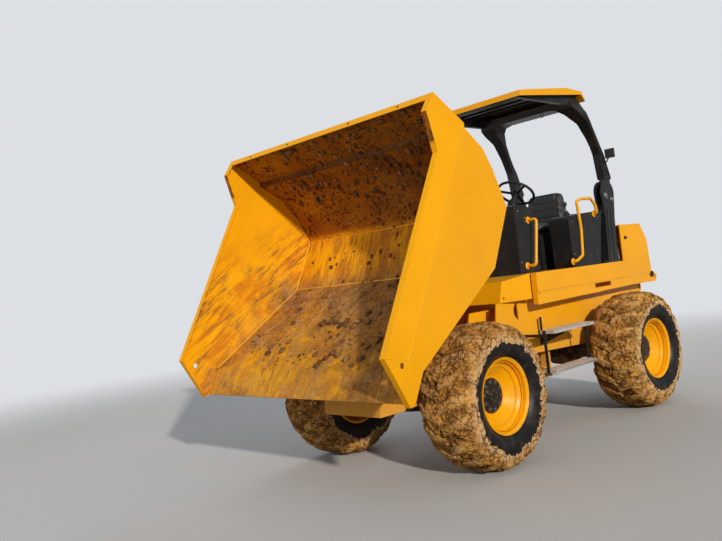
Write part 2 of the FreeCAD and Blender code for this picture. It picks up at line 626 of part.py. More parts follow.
def deck(side, sign):
    """Folded deck panel: tread plate, skirt, slotted lower strip with the lashing eye, and front return."""
    skin = "deck_plate"
    top = box(f"deck_top_{side}", ("deck_rear", "frame_half - 2", "deck_z"), ("deck_front", "deck_half", f"deck_z + {skin}"))
    skirt = box(f"deck_skirt_{side}", ("deck_rear", f"deck_half - {skin}", "fold_z"),
                ("deck_front", "deck_half", f"deck_z + {skin}"))
    strip = slab(f"deck_strip_{side}", [
        ("deck_front", "fold_z + 16"), ("deck_front", "skirt_low"), ("deck_rear", "skirt_low + skirt_lift - 12"),
        ("skirt_rear", "skirt_low + skirt_lift - 19"), ("skirt_rear", "fold_z"), ("deck_rear", "fold_z"),
        ("deck_rear", "fold_z + 16"),
    ], f"deck_half - 2 * {skin}", f"deck_half - {skin}")
    boss = rod(f"deck_boss_{side}", "eye_boss", ("skirt_rear", f"deck_half - 2 * {skin} - 10", "eye_height"),
               f"deck_half - {skin}", "y")
    back = box(f"deck_return_{side}", ("deck_front - 10", "deck_half - 60", "skirt_low + 5"),
               ("deck_front", f"deck_half - {skin}", f"deck_z + {skin}"))
    ties = []
    for name, x in (("front", "-140"), ("middle", "-900"), ("rear", "-1800")):
        ties.append(box(f"deck_tie_{name}_{side}", (x, "frame_half - 1", "deck_z - 60"),
                        (f"{x} + 12", f"deck_half - {skin}", "deck_z")))
    tail_tie = box(f"deck_tail_tie_{side}", ("frame_rear", "frame_half - 1", "frame_top + 2"),
                   ("frame_rear + 16", f"deck_half - 2 * {skin}", "fold_z - 4"))
    tail_post = box(f"deck_tail_post_{side}", ("frame_rear", "frame_half - 1", "frame_top - 120"),
                    ("frame_rear + 16", "frame_half + 12", "fold_z - 4"))
    whole = fuse(f"deck_whole_{side}", top, skirt, strip, boss, back, tail_tie, tail_post, *ties)
    eye = rod(f"deck_eye_{side}", "eye_rad", ("skirt_rear", "deck_half - 60", "eye_height"), "deck_half + 10", "y")
    slot = box(f"deck_slot_{side}", ("slot_rear", "deck_half - 40", "slot_low"), ("slot_front", "deck_half + 5", "slot_high"))
    frame_keepout = box(f"deck_keepout_{side}", ("-2500", "0", "600"), ("500", "frame_half", "deck_z"))
    panel = cut(f"deck_cut_{side}", whole, eye, slot, frame_keepout)
    if sign < 0:
        panel = mirrored(f"deck_mirror_{side}", panel)
    return panel


def platform():
    """Floor plate and the tapered front of the platform, whose face leans out at its foot."""
    floor = box("floor_sheet", ("hood_front + 142", "-frame_half + 3", "deck_z"),
                ("deck_front", "frame_half - 3", "deck_z + deck_plate"))
    foot = "frame_nose_top + fit_gap"
    plan = [
        ("deck_front + 1", "-(platform_half + 88)"), ("platform_x", "-(platform_half - 12)"),
        ("platform_x", "platform_half - 12"), ("deck_front + 1", "platform_half + 88"),
    ]
    plan_in = [
        ("deck_front - 20", "-(platform_half + 82)"), ("platform_x - 10", "-(platform_half - 24)"),
        ("platform_x - 10", "platform_half - 24"), ("deck_front - 20", "platform_half + 82"),
    ]
    side = [
        ("deck_front + 1", foot), ("platform_x", foot), ("platform_x - 50", "platform_z"),
        ("deck_front + 1", "deck_z + deck_plate"),
    ]
    side_in = [
        ("deck_front - 20", "frame_nose_top - 20"), ("platform_x - 6", "frame_nose_top - 20"),
        ("platform_x - 60", "platform_z - 9"), ("deck_front - 20", "deck_z + 2"),
    ]
    outer = common("platform_outer", slab("platform_side", side, "-deck_half", "deck_half"),
                   slab("platform_plan", plan, "frame_nose_top - 50", "deck_z + 100", "XY_Plane"))
    inner = common("platform_inner", slab("platform_side_in", side_in, "-deck_half", "deck_half"),
                   slab("platform_plan_in", plan_in, "frame_nose_top - 50", "deck_z + 100", "XY_Plane"))
    keep(fuse("platform_whole", floor, cut("platform_shell", outer, inner)), "platform")


def console():
    """Moulded console with a rounded rear edge, open towards the operator below its top."""
    shell = slab("console_outer", [
        ("console_back", BASE), ("console_foot", BASE), ("console_foot - 9", "console_top - 20"),
        ("console_foot - 16", "console_top - 5"), ("console_foot - 30", "console_top"),
        ("console_back + 120", "console_top - 18"), ("console_back + 84", "console_top - 28"),
        ("console_back + 58", "console_top - 54"), ("console_back + 46", "console_top - 94"),
    ], "-console_half", "console_half")
    hollow = slab("console_hollow", [
        ("console_back - 100", "deck_z"), ("console_foot - panel_wall", "deck_z"),
        ("console_foot - 22", "console_top - 34"), ("console_foot - 36", "console_top - panel_wall"),
        ("console_back + 122", "console_top - 31"), ("console_back + 92", "console_top - 40"),
        ("console_back + 70", "console_top - 62"), ("console_back + 52", "console_top - 150"),
        ("console_back - 100", "console_top - 150"),
    ], "-console_half + panel_wall", "console_half - panel_wall")
    keep(cut("console_cut", shell, hollow), "front_console")


def steering_wheel():
    """Ring, spokes, gaiter and a raked column that stands in a pedestal on the floor."""
    ring = doc.addObject("Part::Torus", "wheel_ring_body")
    bind(ring, "Radius1", "wheel_ring")
    ring.Radius2 = 14
    spokes = [box(f"wheel_spoke_{i}", ("0", "-14", "-16"), ("wheel_ring", "14", "-4")) for i in range(3)]
    for i, spoke in enumerate(spokes):
        spoke.Placement.Rotation = FreeCAD.Rotation(V(0, 0, 1), 60 + 120 * i)
        turn = math.radians(60 + 120 * i)
        place(spoke, f"14 * {math.sin(turn):.6f}", f"-14 * {math.cos(turn):.6f}", "-16")
    rake = math.radians(value("column_rake"))
    drop = value(f"wheel_z - {BASE}")
    long = drop / math.cos(rake) - 50
    foot_x = f"wheel_x + {drop * math.tan(rake):.4f}"
    boss = rod("wheel_boss", "42", ("0", "0", "-34"), "0", "z")
    column = rod("wheel_column", "30", ("0", "0", f"-{long:.4f}"), "-30", "z")
    gaiter = rod("wheel_gaiter", "44", ("0", "0", "-200"), "-110", "z")
    raked = fuse("wheel_raked", ring, boss, column, gaiter, *spokes)
    raked.Placement = FreeCAD.Placement(V(), FreeCAD.Rotation(V(0, 1, 0), -value("column_rake")))
    place(raked, "wheel_x", "0", "wheel_z")
    pedestal = box("wheel_pedestal", (f"{foot_x} - 95", "-60", BASE), (f"{foot_x} + 30", "60", f"{BASE} + 95"))
    keep(fuse("steering_wheel_whole", raked, pedestal), "steering_wheel")


def seat():
    low = "cushion_low"
    pieces = [
        box("seat_stand", ("seat_x - 200", "-seat_half", BASE), ("seat_x + 320", "seat_half", f"{low} - 30")),
        box("seat_pan", ("seat_x - 240", "-seat_half + 10", f"{low} - 31"), ("seat_x + 250", "seat_half - 10", low)),
        box("seat_spine", ("seat_x - 330", "-90", f"{low} - 31"), ("seat_x - 238", "90", f"{low} - 6")),
        box("seat_upright", ("seat_x - 345", "-90", f"{low} - 31"), ("seat_x - 318", "90", "back_top - 35")),
    ]
    keep(fuse("seat_base_whole", *pieces), "seat_base")
    cushion = slab("seat_cushion_body", [
        ("seat_x - 236", f"{low} + fit_gap"), ("seat_x + 225", f"{low} + fit_gap"), ("seat_x + 270", f"{low} + 35"),
        ("seat_x + 270", "cushion_top - 45"), ("seat_x + 235", "cushion_top - 12"), ("seat_x - 120", "cushion_top - 18"),
        ("seat_x - 236", "cushion_top"),
    ], "-seat_half", "seat_half")
    keep(cushion, "seat_cushion")
    back = slab("seat_back_body", [
        ("seat_x - 318 + fit_gap", f"{low} + 50"), ("seat_x - 244", f"{low} + 50"), ("seat_x - 240", "cushion_top + 6"),
        ("seat_x - 205", "cushion_top + 30"), ("seat_x - 212", "cushion_top + 190"), ("seat_x - 240", "back_top - 20"),
        ("seat_x - 262", "back_top"), ("seat_x - 300", "back_top"), ("seat_x - 318 + fit_gap", "back_top - 25"),
    ], "-seat_half + 15", "seat_half - 15")
    keep(back, "seat_back")


def side_console(side, sign):
    """Moulded box beside the seat, whose rear edge leans back."""
    low, high = sided(sign, "side_in", "deck_half - 8")
    return slab(f"side_console_body_{side}", [
        ("side_rear + 138", BASE), ("side_front - 12", BASE), ("side_front", f"{BASE} + 60"),
        ("side_front + 12", "side_top - 66"), ("side_front - 14", "side_top - 44"),
        ("side_front - 128", "side_top - 32"), ("side_rear", "side_top"),
    ], low, high)


def bent_bar(points, radius, bend):
    """A round bar along straight runs joined by arcs."""
    corners = [V(*p) for p in points]
    edges = []
    start = corners[0]
    for before, at, after in zip(corners, corners[1:], corners[2:]):
        into = (at - before).normalize()
        out = (after - at).normalize()
        turn = into.getAngle(out)
        reach = bend * math.tan(turn / 2)
        first = at - into * reach
        last = at + out * reach
        middle = at + (out - into).normalize() * (bend / math.cos(turn / 2) - bend)
        edges.append(Part.LineSegment(start, first).toShape())
        edges.append(Part.Arc(first, middle, last).toShape())
        start = last
    edges.append(Part.LineSegment(start, corners[-1]).toShape())
    ring = Part.Wire([Part.Circle(corners[0], (corners[1] - corners[0]).normalize(), radius).toShape()])
    return Part.Wire(edges).makePipeShell([ring], True, True)


def handrails():
    """Two bent grab rails on the left: one on the console's side, one on the side console."""
    console_face = value("console_half + fit_gap")
    side_face = value("deck_half - 8 + fit_gap")
    front_plane = value("console_half + 95")
    rear_plane = value("deck_half + 32")
    front = [
        (-75, console_face, 1560), (-75, front_plane, 1560), (-122, front_plane, 1772), (-170, front_plane, 1998),
        (-170, console_face, 1998),
    ]
    rear = [
        (-668, side_face, 1548), (-668, rear_plane, 1548), (-795, rear_plane, 1600), (-826, rear_plane, 1866),
        (-800, rear_plane, 2147), (-878, rear_plane, 2170), (-1078, rear_plane, 2175), (-1154, rear_plane, 2112),
        (-1178, rear_plane, 2018), (-1178, side_face, 2018),
    ]
    shapes = [bent_bar(points, value("grab_rad"), bend) for points, bend in ((front, 30), (rear, 26))]
    keep(shaped("handrails_body", shapes[0].fuse(shapes[1:])), "handrails")


def hood():
    """Hood over the engine: five panels with louvres behind, open in front and below, hinged at its lower rear edge."""
    outer = slab("hood_outer", [
        ("hood_front", BASE), ("deck_rear - 5", BASE), ("deck_rear - 5", "hood_low"), ("hood_rear", "hood_low"),
        ("hood_brow", "hood_brow_z"), ("hood_crest", "hood_top"), ("hood_front", "hood_top"),
    ], f"-{HOOD_HALF}", HOOD_HALF)
    inner = slab("hood_inner", [
        ("hood_front + 50", "hood_low - 50"), ("hood_rear + hood_wall", "hood_low - 50"),
        ("hood_brow + hood_wall", "hood_brow_z - 3"), ("hood_crest + 3", "hood_top - hood_wall"),
        ("hood_front + 50", "hood_top - hood_wall"),
    ], f"-{HOOD_HALF} + hood_wall", f"{HOOD_HALF} - hood_wall")
    knuckles = []
    bores = []
    holes = []
    for side, sign in SIDES:
        low, high = f"{sign} * hinge_y - hinge_half", f"{sign} * hinge_y + hinge_half"
        knuckles.append(rod(f"hood_knuckle_{side}", "hinge_rad", ("hood_rear", low, "hood_low"), high, "y"))
        bores.append(rod(f"hood_knuckle_bore_{side}", "hinge_pin + run_gap", ("hood_rear", f"{low} - 20", "hood_low"),
                         f"{high} + 20", "y"))
        for name, start, end in (("inner", f"{low} - hinge_lug - 6", low), ("outer", high, f"{high} + hinge_lug + 6")):
            holes.append(box(f"hood_notch_{name}_{side}", ("hood_rear - 30", start, "hood_low - 20"),
                             ("hood_rear + 40", end, "hood_low + hinge_rad + 6")))
        # Louvre slots in the rear panel, in two columns
        low, high = sided(sign, "14", "grille_half")
        for row in range(LOUVRES):
            foot = f"hood_low + 80 + {row} * (hood_brow_z - hood_low - 140) / {LOUVRES}"
            holes.append(box(f"hood_slot_{side}_{row}", ("hood_rear - 20", low, foot),
                             ("hood_brow + 40", high, f"{foot} + louvre_open")))
    shell = cut("hood_shell", outer, inner, *holes)
    keep(cut("hood_cut", fuse("hood_whole", shell, *knuckles), *bores), "engine_hood")


def engine_bay():
    engine = box("engine_block_body", ("engine_rear", "-engine_half", "engine_low"),
                 ("engine_front - fit_gap", "engine_half", "engine_top"))
    keep(engine, "engine_block", "engine_rear", "-engine_half", "engine_low")
    gearbox = [
        box("gearbox_case", ("-1010", "-200", "rail_z + 70 + fit_gap"), ("-500", "200", "1150")),
        box("gearbox_drop", ("-740", "-150", "560"), ("-560", "150", "rail_z + 71")),
        rod("gearbox_output", "60", ("-800", "0", "axle_z"), "-700", "x"),
        box("gearbox_bell", ("-1549", "-240", "880"), ("-1009", "240", "1300")),
    ]
    keep(fuse("gearbox_whole", *gearbox), "gearbox")
    edge = f"({POST_IN} - 6)"
    cover = box("bay_cover_outer", ("hood_front + 8", f"-{edge}", BASE), ("bay_front", edge, "bay_top"))
    hollow = box("bay_cover_inner", ("hood_front - 50", f"-{edge} + 10", "deck_z - 50"),
                 ("bay_front - 10", f"{edge} - 10", "bay_top - 10"))
    bay_cover = cut("bay_cover_cut", cover, hollow)
    keep(fuse("moulded_covers_whole", bay_cover, side_console("left", 1), side_console("right", -1)), "moulded_covers")
    tank = box("tank_box", ("tank_rear", "-tank_out", "tank_low"), ("tank_front", "-frame_half - fit_gap", "tank_top"))
    cap = rod("tank_cap", "45", ("-80", "-560", "tank_top"), "tank_top + 30", "z")
    keep(fuse("tank_whole", tank, cap), "side_tank")


def steps():
    """Two pale treads between black stiles on the left, with a bracket under the upper one."""
    treads = []
    # Treads: name, inner edge, underside
    for name, edge, low in (("upper", "tread_in", "tread_high"), ("lower", "tread_in - 20", "tread_low")):
        treads.append(box(f"tread_{name}", ("step_rear", edge, low), ("step_front", f"{edge} + tread_wide", f"{low} + tread_thick")))
    keep(fuse("treads_whole", *treads), "step_treads")
    stiles = []
    for name, rear, front in (("front", "step_front", "step_front + 8"), ("rear", "step_rear - 8", "step_rear")):
        stiles.append(box(f"stile_{name}", (rear, "tread_in + 30", "tread_low"),
                          (front, "tread_in + 58", "tread_high + tread_thick")))
        stiles.append(box(f"stile_arm_{name}", (rear, "frame_half", "tread_high - 30"),
                          (front, "tread_in + 58", "tread_high - 2")))
    bracket = [("frame_half", "tread_high - 145"), ("tread_in + 60", "tread_high - 30"), ("tread_in + 60", "tread_high"),
               ("frame_half", "tread_high")]
    stiles.append(slab("step_bracket", bracket, "-204", "-192", "YZ_Plane"))
    keep(fuse("stiles_whole", *stiles), "step_stiles")


def rear_details():
    """Rear lamps."""
    lamps = []
    for side, sign in SIDES:
        low, high = ("290", "400") if sign > 0 else ("-400", "-290")
        lamps.append(box(f"lamp_{side}", ("frame_rear - 40", low, "1100"), ("frame_rear", high, "1190")))
    keep(fuse("rear_lamps_whole", *lamps), "rear_lamps")


def lower_posts():
    """Leaning posts with forked tops that carry the fold pins."""
    foot = "deck_z + deck_plate"
    top = "(fold_pin_z - 110)"
    posts = []
    for side, sign in SIDES:
        low, high = sided(sign, POST_IN, POST_OUT)
        shaft = [
            ("post_x + post_deep / 2", foot), ("post_x - post_deep / 2", foot),
            ("head_x - post_deep / 2 - 6", top), ("head_x + post_deep / 2 + 6", top),
        ]
        parts = [slab(f"post_{side}", shaft, low, high)]
        parts.append(box(f"post_foot_{side}", ("post_x - post_deep / 2 - 40", low, foot),
                         ("post_x + post_deep / 2 + 40", high, f"{foot} + 16")))
        cheek = [
            ("head_x - post_deep / 2 - 4", f"{top} - 60"), ("head_x + post_deep / 2 + 4", f"{top} - 60"),
            ("head_x + head_rad - 3", "head_z - 20"), ("head_x - head_rad + 3", "head_z - 20"),
        ]
        for name, inner, outer in (("inner", POST_IN, f"{POST_IN} + 14"), ("outer", f"{POST_OUT} - 14", POST_OUT)):
            low, high = sided(sign, inner, outer)
            parts.append(slab(f"cheek_{name}_{side}", cheek, low, high))
            parts.append(rod(f"cheek_round_{name}_{side}", "head_rad", ("head_x", low, "head_z"), high, "y"))
        low, high = sided(sign, f"{POST_IN} - 8", f"{POST_OUT} + 8")
        parts.append(rod(f"fold_pin_{side}", "fold_pin_rad", ("fold_pin_x", low, "fold_pin_z"), high, "y"))
        low, high = sided(sign, POST_OUT, f"{POST_OUT} + 12")
        parts.append(rod(f"lock_pin_{side}", "fold_pin_rad", ("lock_pin_x", low, "lock_pin_z"), high, "y"))
        posts.append(fuse(f"lower_post_{side}", *parts))
    keep(fuse("lower_posts_whole", *posts), "lower_posts")


def roll_bar():
    """The arch that folds on the posts: its front view cut by its side view, which leans forward."""
    start = "fold_pin_z - 55"
    half = [
        (f"{POST_OUT} - 20", start), (f"{POST_OUT} - 20", "head_z + head_rad + 12"), (POST_OUT, "head_z + head_rad + 24"),
        (POST_OUT, f"{ARCH_Z} - 130"), (f"{POST_OUT} - 46", ARCH_Z),
    ]
    inner = [
        ("300", f"{ARCH_Z} - 64"), (f"{POST_IN} - 130", f"{ARCH_Z} - 80"), (f"{POST_IN} - 76", f"{ARCH_Z} - 130"),
        (f"{POST_IN} - 30", f"{ARCH_Z} - 240"), (POST_IN, f"{ARCH_Z} - 480"), (POST_IN, "head_z + head_rad + 24"),
        (f"{POST_IN} + 20", "head_z + head_rad + 12"), (f"{POST_IN} + 20", start),
    ]
    front_view = half + [(f"-({a})", b) for a, b in reversed(half)]
    front_view += [(f"-({a})", b) for a, b in reversed(inner)] + inner
    side_view = [
        ("head_x + 30", start), ("head_x + 16", "head_z + 150"), ("head_x + 58", "head_z + 420"),
        ("head_x + 140", "head_z + 600"), ("head_x + 255", f"{ARCH_Z} - 222"), ("arch_x + 74", f"{ARCH_Z} - 82"),
        ("arch_x + 100", ARCH_Z), ("arch_x - 100", ARCH_Z), ("arch_x - 135", f"{ARCH_Z} - 82"),
        ("head_x + 180", f"{ARCH_Z} - 222"), ("head_x + 92", "head_z + 600"), ("head_x - 18", "head_z + 420"),
        ("head_x - 123", "head_z + 150"), ("fold_pin_x - 46", start),
    ]
    arch = common("arch_cross", slab("arch_front_view", front_view, "fold_pin_x - 200", "arch_x + 200", "YZ_Plane"),
                  slab("arch_side_view", side_view, f"-{ROOF_HALF}", ROOF_HALF))
    bore = rod("arch_bore", "fold_pin_rad + run_gap", ("fold_pin_x", f"-{ROOF_HALF}", "fold_pin_z"), ROOF_HALF, "y")
    return cut("arch_cut", arch, bore)


def roof(arch):
    """Black rails and ribs on the arch, under a yellow skin with a fascia and a turned-down rear edge."""
    pieces = []
    for side, sign in SIDES:
        low, high = sided(sign, f"{ROOF_HALF} - 100", f"{ROOF_HALF} - 56")
        pieces.append(slab(f"roof_rail_{side}", [
            ("roof_rear + 90", "roof_z - 60"), ("roof_rear + 92", "roof_z - 24"),
            ("roof_rear + 362", "roof_z - roof_wall - fit_gap"),
            ("roof_front - 60", "roof_z - 102"), ("roof_front - 60", "roof_z - 150"),
            ("arch_x + 60", f"{ARCH_Z} - 60"), ("arch_x - 60", f"{ARCH_Z} - 60"),
        ], low, high))
    for name, x in (("third", "roof_front - 780"), ("second", "roof_front - 520"), ("first", "roof_front - 260")):
        lean = f"(({x}) - roof_front) * 0.112"
        pieces.append(box(f"roof_rib_{name}", (x, f"-({ROOF_HALF} - 60)", f"roof_z - 150 - {lean}"),
                          (f"{x} + 40", f"{ROOF_HALF} - 60", f"roof_z - 114 - {lean}")))
    pieces.append(box("roof_front_rib", ("roof_front - 76", f"-({ROOF_HALF} - 60)", "roof_z - 150"),
                      ("roof_front - 46", f"{ROOF_HALF} - 60", "roof_z - 116")))
    keep(fuse("roll_bar_whole", arch, *pieces), "roll_bar")
    skin = slab("roof_outer", [
        ("roof_rear", "roof_z - 109"), ("roof_rear + 71", "roof_z - 10"), ("roof_rear + 362", "roof_z"),
        ("roof_front - 12", "roof_z - 94"), ("roof_front", "roof_z - 104"), ("roof_front", "roof_z - 149"),
        ("roof_rear + 79", "roof_z - 46"), ("roof_rear + 12", "roof_z - 111"),
    ], f"-{ROOF_HALF}", ROOF_HALF)
    hollow = slab("roof_hollow", [
        ("roof_rear + 84", "roof_z - 22"), ("roof_rear + 362", "roof_z - roof_wall"),
        ("roof_front - 14", "roof_z - 94 - roof_wall"), ("roof_front - roof_wall", "roof_z - 200"),
        ("roof_rear + 84", "roof_z - 200"),
    ], f"-{ROOF_HALF} + roof_wall", f"{ROOF_HALF} - roof_wall")
    keep(cut("roof_shell", skin, hollow), "roof_skin")


def mirror():
    """Round mirror arm on the left leg of the roll bar with a small square head."""
    face = value(f"{POST_OUT} + fit_gap")
    x, z = value("mirror_x"), value("mirror_z")
    arm = bent_bar([(x, face, z - 80), (x, face + 44, z - 80), (x + 8, face + 90, z - 20)], 7, 12)
    head = box("mirror_head", ("mirror_x - 4", f"{POST_OUT} + 44", "mirror_z - 48"),
               ("mirror_x + 24", f"{POST_OUT} + 144", "mirror_z + 48"))
    keep(fuse("mirror_whole", shaped("mirror_arm", arm), head), "mirror")


# Centre pivot, front frame, rams and skip.

def centre_pivot():
    low = "pivot_low + pivot_clear"
    high = "pivot_high - pivot_clear"
    sleeve = rod("pivot_sleeve", "sleeve_rad", ("pivot_x", "0", low), high, "z")
    neck = rod("pivot_neck", "sleeve_rad + 20", ("pivot_x", "0", "trunnion_z"), "pivot_x + sleeve_rad + 50", "x")
    trunnion = rod("pivot_trunnion", "trunnion_rad", ("pivot_x", "0", "trunnion_z"), "trunnion_end", "x")
    arm = slab("pivot_arm", [
        ("pivot_x - 20", "40"), ("pivot_x + 60", "0"), ("lock_eye_x + 45", "lock_eye_y - 30"), ("lock_eye_x + 30", "lock_eye_y + 40"),
        ("lock_eye_x - 40", "lock_eye_y + 40"),
    ], "lock_z + lock_rad + 4", "lock_z + lock_rad + 20", "XY_Plane")
    pin = rod("lock_eye_pin", "ram_pin", ("lock_eye_x", "lock_eye_y", "lock_z + lock_rad + 2"), "lock_z + lock_rad + 24", "z")
    whole = fuse("centre_pivot_whole", sleeve, neck, trunnion, arm, pin)
    bore = rod("sleeve_bore", "pin_rad + run_gap", ("pivot_x", "0", "300"), "1100", "z")
    keep(cut("centre_pivot_cut", whole, bore), "centre_pivot")


def front_frame():
    side_outline = [
        ("fork_rear", "450"), ("1050", "450"), ("1120", "rail_z"), ("1460", "rail_z"), ("1530", "520"), ("fork_nose", "520"),
        ("fork_nose", "650"), ("1790", "900"), ("tip_x + tip_boss - 4", "tip_z"), ("tip_x + 55", "tip_z + 65"),
        ("tip_x - 55", "tip_z + 65"), ("tip_x - tip_boss + 4", "tip_z"), ("1480", "1060"),
        ("1300", "930"), ("fork_rear", "900"),
    ]
    # Tall plates over the trunnion, narrow enough to pass inside the rear frame's nose at full lock
    shoulder = [
        ("shoulder_x", "shoulder_top"), ("shoulder_x + 60", "shoulder_top - 120"), ("shoulder_x + 60", "620"),
        ("fork_rear + 16", "620"), ("fork_rear + 16", "shoulder_top - 150"), ("fork_rear - 100", "shoulder_top - 140"),
        ("fork_rear - 150", "shoulder_top"),
    ]
    pieces = []
    for side, sign in SIDES:
        low, high = sided(sign, "fork_half - fork_plate", "fork_half")
        pieces.append(slab(f"fork_side_{side}", side_outline, low, high))
        low, high = sided(sign, "shoulder_half - 12", "shoulder_half")
        pieces.append(slab(f"shoulder_{side}", shoulder, low, high))
        low, high = sided(sign, "164", "178")
        pieces.append(box(f"ram_cheek_{side}", ("fork_rear", low, "450"), ("960", high, "640")))
        low, high = sided(sign, "fork_half - 90", "fork_half + 40")
        pieces.append(box(f"front_seat_{side}", ("axle_x - 110", low, "rail_z"), ("axle_x + 110", high, "rail_z + 20")))
        low, high = sided(sign, "fork_half - 1", "rib_half - rib_plate / 2 - 3")
        pieces.append(rod(f"tip_boss_{side}", "55", ("tip_x", low, "tip_z"), high, "y"))
    pieces.append(box("shoulder_wall", ("shoulder_x + 140", "-(shoulder_half - 6)", "trunnion_z + 120"),
                      ("shoulder_x + 152", "shoulder_half - 6", "shoulder_top - 125")))
    inside = "(fork_half - fork_plate)"
    # Cross plates: name, rear face, front face, bottom, top
    crosses = [
        ("rear", "fork_rear", "fork_rear + 16", "450", "900"),
        ("nose", "fork_nose - 16", "fork_nose", "520", "650"),
        ("middle", "1530", "1546", "520", "800"),
        ("tower", "1560", "1576", "900", "1150"),
    ]
    for name, rear, front, low, high in crosses:
        pieces.append(box(f"fork_{name}", (rear, f"-{inside}", low), (front, inside, high)))
    pieces.append(box("fork_floor", ("1530", f"-{inside}", "520"), ("fork_nose", inside, "536")))
    pieces.append(box("neck_box", ("pivot_x + sleeve_rad + 56", "-140", "trunnion_z - 130"), ("fork_rear + 60", "140", "trunnion_z + 130")))
    whole = fuse("front_frame_whole", *pieces)
    bores = [
        rod("trunnion_bore", "trunnion_rad + run_gap", ("300", "0", "trunnion_z"), "trunnion_end + 6", "x"),
        rod("tip_bore", "tip_rad + run_gap", ("tip_x", "-500", "tip_z"), "500", "y"),
        rod("ram_base_bore", "ram_pin + run_gap", ("ram_base_x", "-500", "ram_base_z"), "500", "y"),
    ]
    frame = cut("front_frame_cut", whole, *bores)
    pins = []
    for side, sign in SIDES:
        low, high = sided(sign, "fork_half - 40", "rib_half + 40")
        pins.append(rod(f"tip_pin_{side}", "tip_rad", ("tip_x", low, "tip_z"), high, "y"))
        low, high = sided(sign, "150", "fork_half + 8")
        pins.append(rod(f"ram_base_pin_{side}", "ram_pin", ("ram_base_x", low, "ram_base_z"), high, "y"))
    keep(fuse("front_frame_pinned", frame, *pins), "front_frame")


def ram(name, base_text, eye, sizes, barrel_turn, where):
    """A ram along its own X axis: a blind barrel with a base eye, and a rod with an end eye."""
    rad, rod_rad, barrel_long, rod_long, pin_axis = sizes
    span = f"{eye}"
    across = "y" if pin_axis == "y" else "z"
    width = f"({rad} - 5)"
    start = ("0", f"-{width}", "0") if across == "y" else ("0", "0", f"-{width}")
    tube = rod(f"{name}_tube", rad, ("0", "0", "0"), barrel_long, "x")
    base_eye = rod(f"{name}_base_eye", rad, start, width, across)
    gland = rod(f"{name}_gland", f"{rad} + 5", (f"{barrel_long} - 50", "0", "0"), f"{barrel_long} - 8", "x")
    bore = rod(f"{name}_bore", f"{rod_rad} + run_gap", (f"{rad} + 12", "0", "0"), f"{barrel_long} + 10", "x")
    far = ("0", "-90", "0") if across == "y" else ("0", "0", "-90")
    eye_bore = rod(f"{name}_base_bore", "ram_pin + run_gap", far, "90", across)
    trim_low = f"-{rad} - 9"
    side_cut_a = ("-80", width, "-90") if across == "y" else ("-80", "-90", width)
    side_cut_b = (f"{rad} + 4", "90", "90")
    side_cut_c = ("-80", "-90", "-90")
    side_cut_d = (f"{rad} + 4", f"-{width}", "90") if across == "y" else (f"{rad} + 4", "90", f"-{width}")
    trims = [box(f"{name}_trim_a", side_cut_a, side_cut_b), box(f"{name}_trim_b", side_cut_c, side_cut_d)]
    barrel = cut(f"{name}_barrel_cut", fuse(f"{name}_barrel_whole", tube, base_eye, gland), bore, eye_bore, *trims)
    stem = rod(f"{name}_stem", rod_rad, (f"{span} - {rod_long}", "0", "0"), f"{span} - 20", "x")
    if across == "y":
        eye_start, eye_end = (span, f"-{width} + 6", "0"), f"{width} - 6"
        hole_start = (span, "-90", "0")
    else:
        eye_start, eye_end = (span, "0", f"-{width} + 6"), f"{width} - 6"
        hole_start = (span, "0", "-90")
    head = rod(f"{name}_head", f"{rad} - 8", eye_start, eye_end, across)
    hole = rod(f"{name}_hole", "ram_pin + run_gap", hole_start, "90", across)
    stick = cut(f"{name}_rod_cut", fuse(f"{name}_rod_whole", stem, head), hole)
    keep(barrel, f"{name}_barrel", *where, barrel_turn)
    keep(stick, f"{name}_rod", *where, barrel_turn)


def tip_rams():
    angle = math.radians(value("tip_angle"))
    dx = value("ram_eye_x - skip_pivot_x")
    dz = value("ram_eye_z - skip_pivot_z")
    eye_x = value("tip_x") + dx * math.cos(angle) + dz * math.sin(angle)
    eye_z = value("tip_z") - dx * math.sin(angle) + dz * math.cos(angle)
    run = eye_x - value("ram_base_x")
    rise = eye_z - value("ram_base_z")
    long = math.hypot(run, rise)
    slope = math.degrees(math.atan2(rise, run))
    turn = FreeCAD.Rotation(V(0, 1, 0), -slope)
    sizes = ("ram_rad", "ram_rod", "ram_barrel", "ram_rod_long", "y")
    for side, sign in SIDES:
        ram(f"tip_ram_{side}", "", f"{long:.4f}", sizes, turn, ("ram_base_x", f"{sign} * ram_half", "ram_base_z"))
    return slope, long


def steering_ram():
    run = value("lock_eye_x - lock_base_x")
    across = value("lock_eye_y - lock_base_y")
    long = math.hypot(run, across)
    heading = math.degrees(math.atan2(across, run))
    turn = FreeCAD.Rotation(V(0, 0, 1), heading)
    sizes = ("lock_rad", "lock_rod", "lock_barrel", "lock_rod_long", "z")
    ram("steering_ram", "", f"{long:.4f}", sizes, turn, ("lock_base_x", "lock_base_y", "lock_z"))
    return heading, long


# Skip, built level from the rear end of its floor and turned about its pivot.

SKIP_SIDE = [
    ("0", "0"), ("floor_x", "0"), ("chute_x", "chute_z"), ("lip_x", "lip_z"), ("ear_x", "ear_z"), ("brow_x", "brow_z"),
    ("notch_x", "notch_z"), ("crest_x", "crest_z"), ("peak_x", "peak_z"), ("guard_x", "guard_z"), ("back_x", "back_z"),
    ("mid_x", "mid_z"), ("low_x", "low_z"),
]


def offset_chain(points, distance):
    """Shift a chain of corners sideways by a distance, to its left when walked in order."""
    shifted = []
    for i, here in enumerate(points):
        before = points[i - 1] if i > 0 else None
        after = points[i + 1] if i + 1 < len(points) else None
        normals = []
        for a, b in ((before, here), (here, after)):
            if a is None or b is None:
                continue
            way = (b - a).normalize()
            normals.append(V(-way.y, way.x, 0))
        if len(normals) == 1:
            shifted.append(here + normals[0] * distance)
        else:
            half = (normals[0] + normals[1]).normalize()
            shifted.append(here + half * (distance / half.dot(normals[0])))
    return shifted


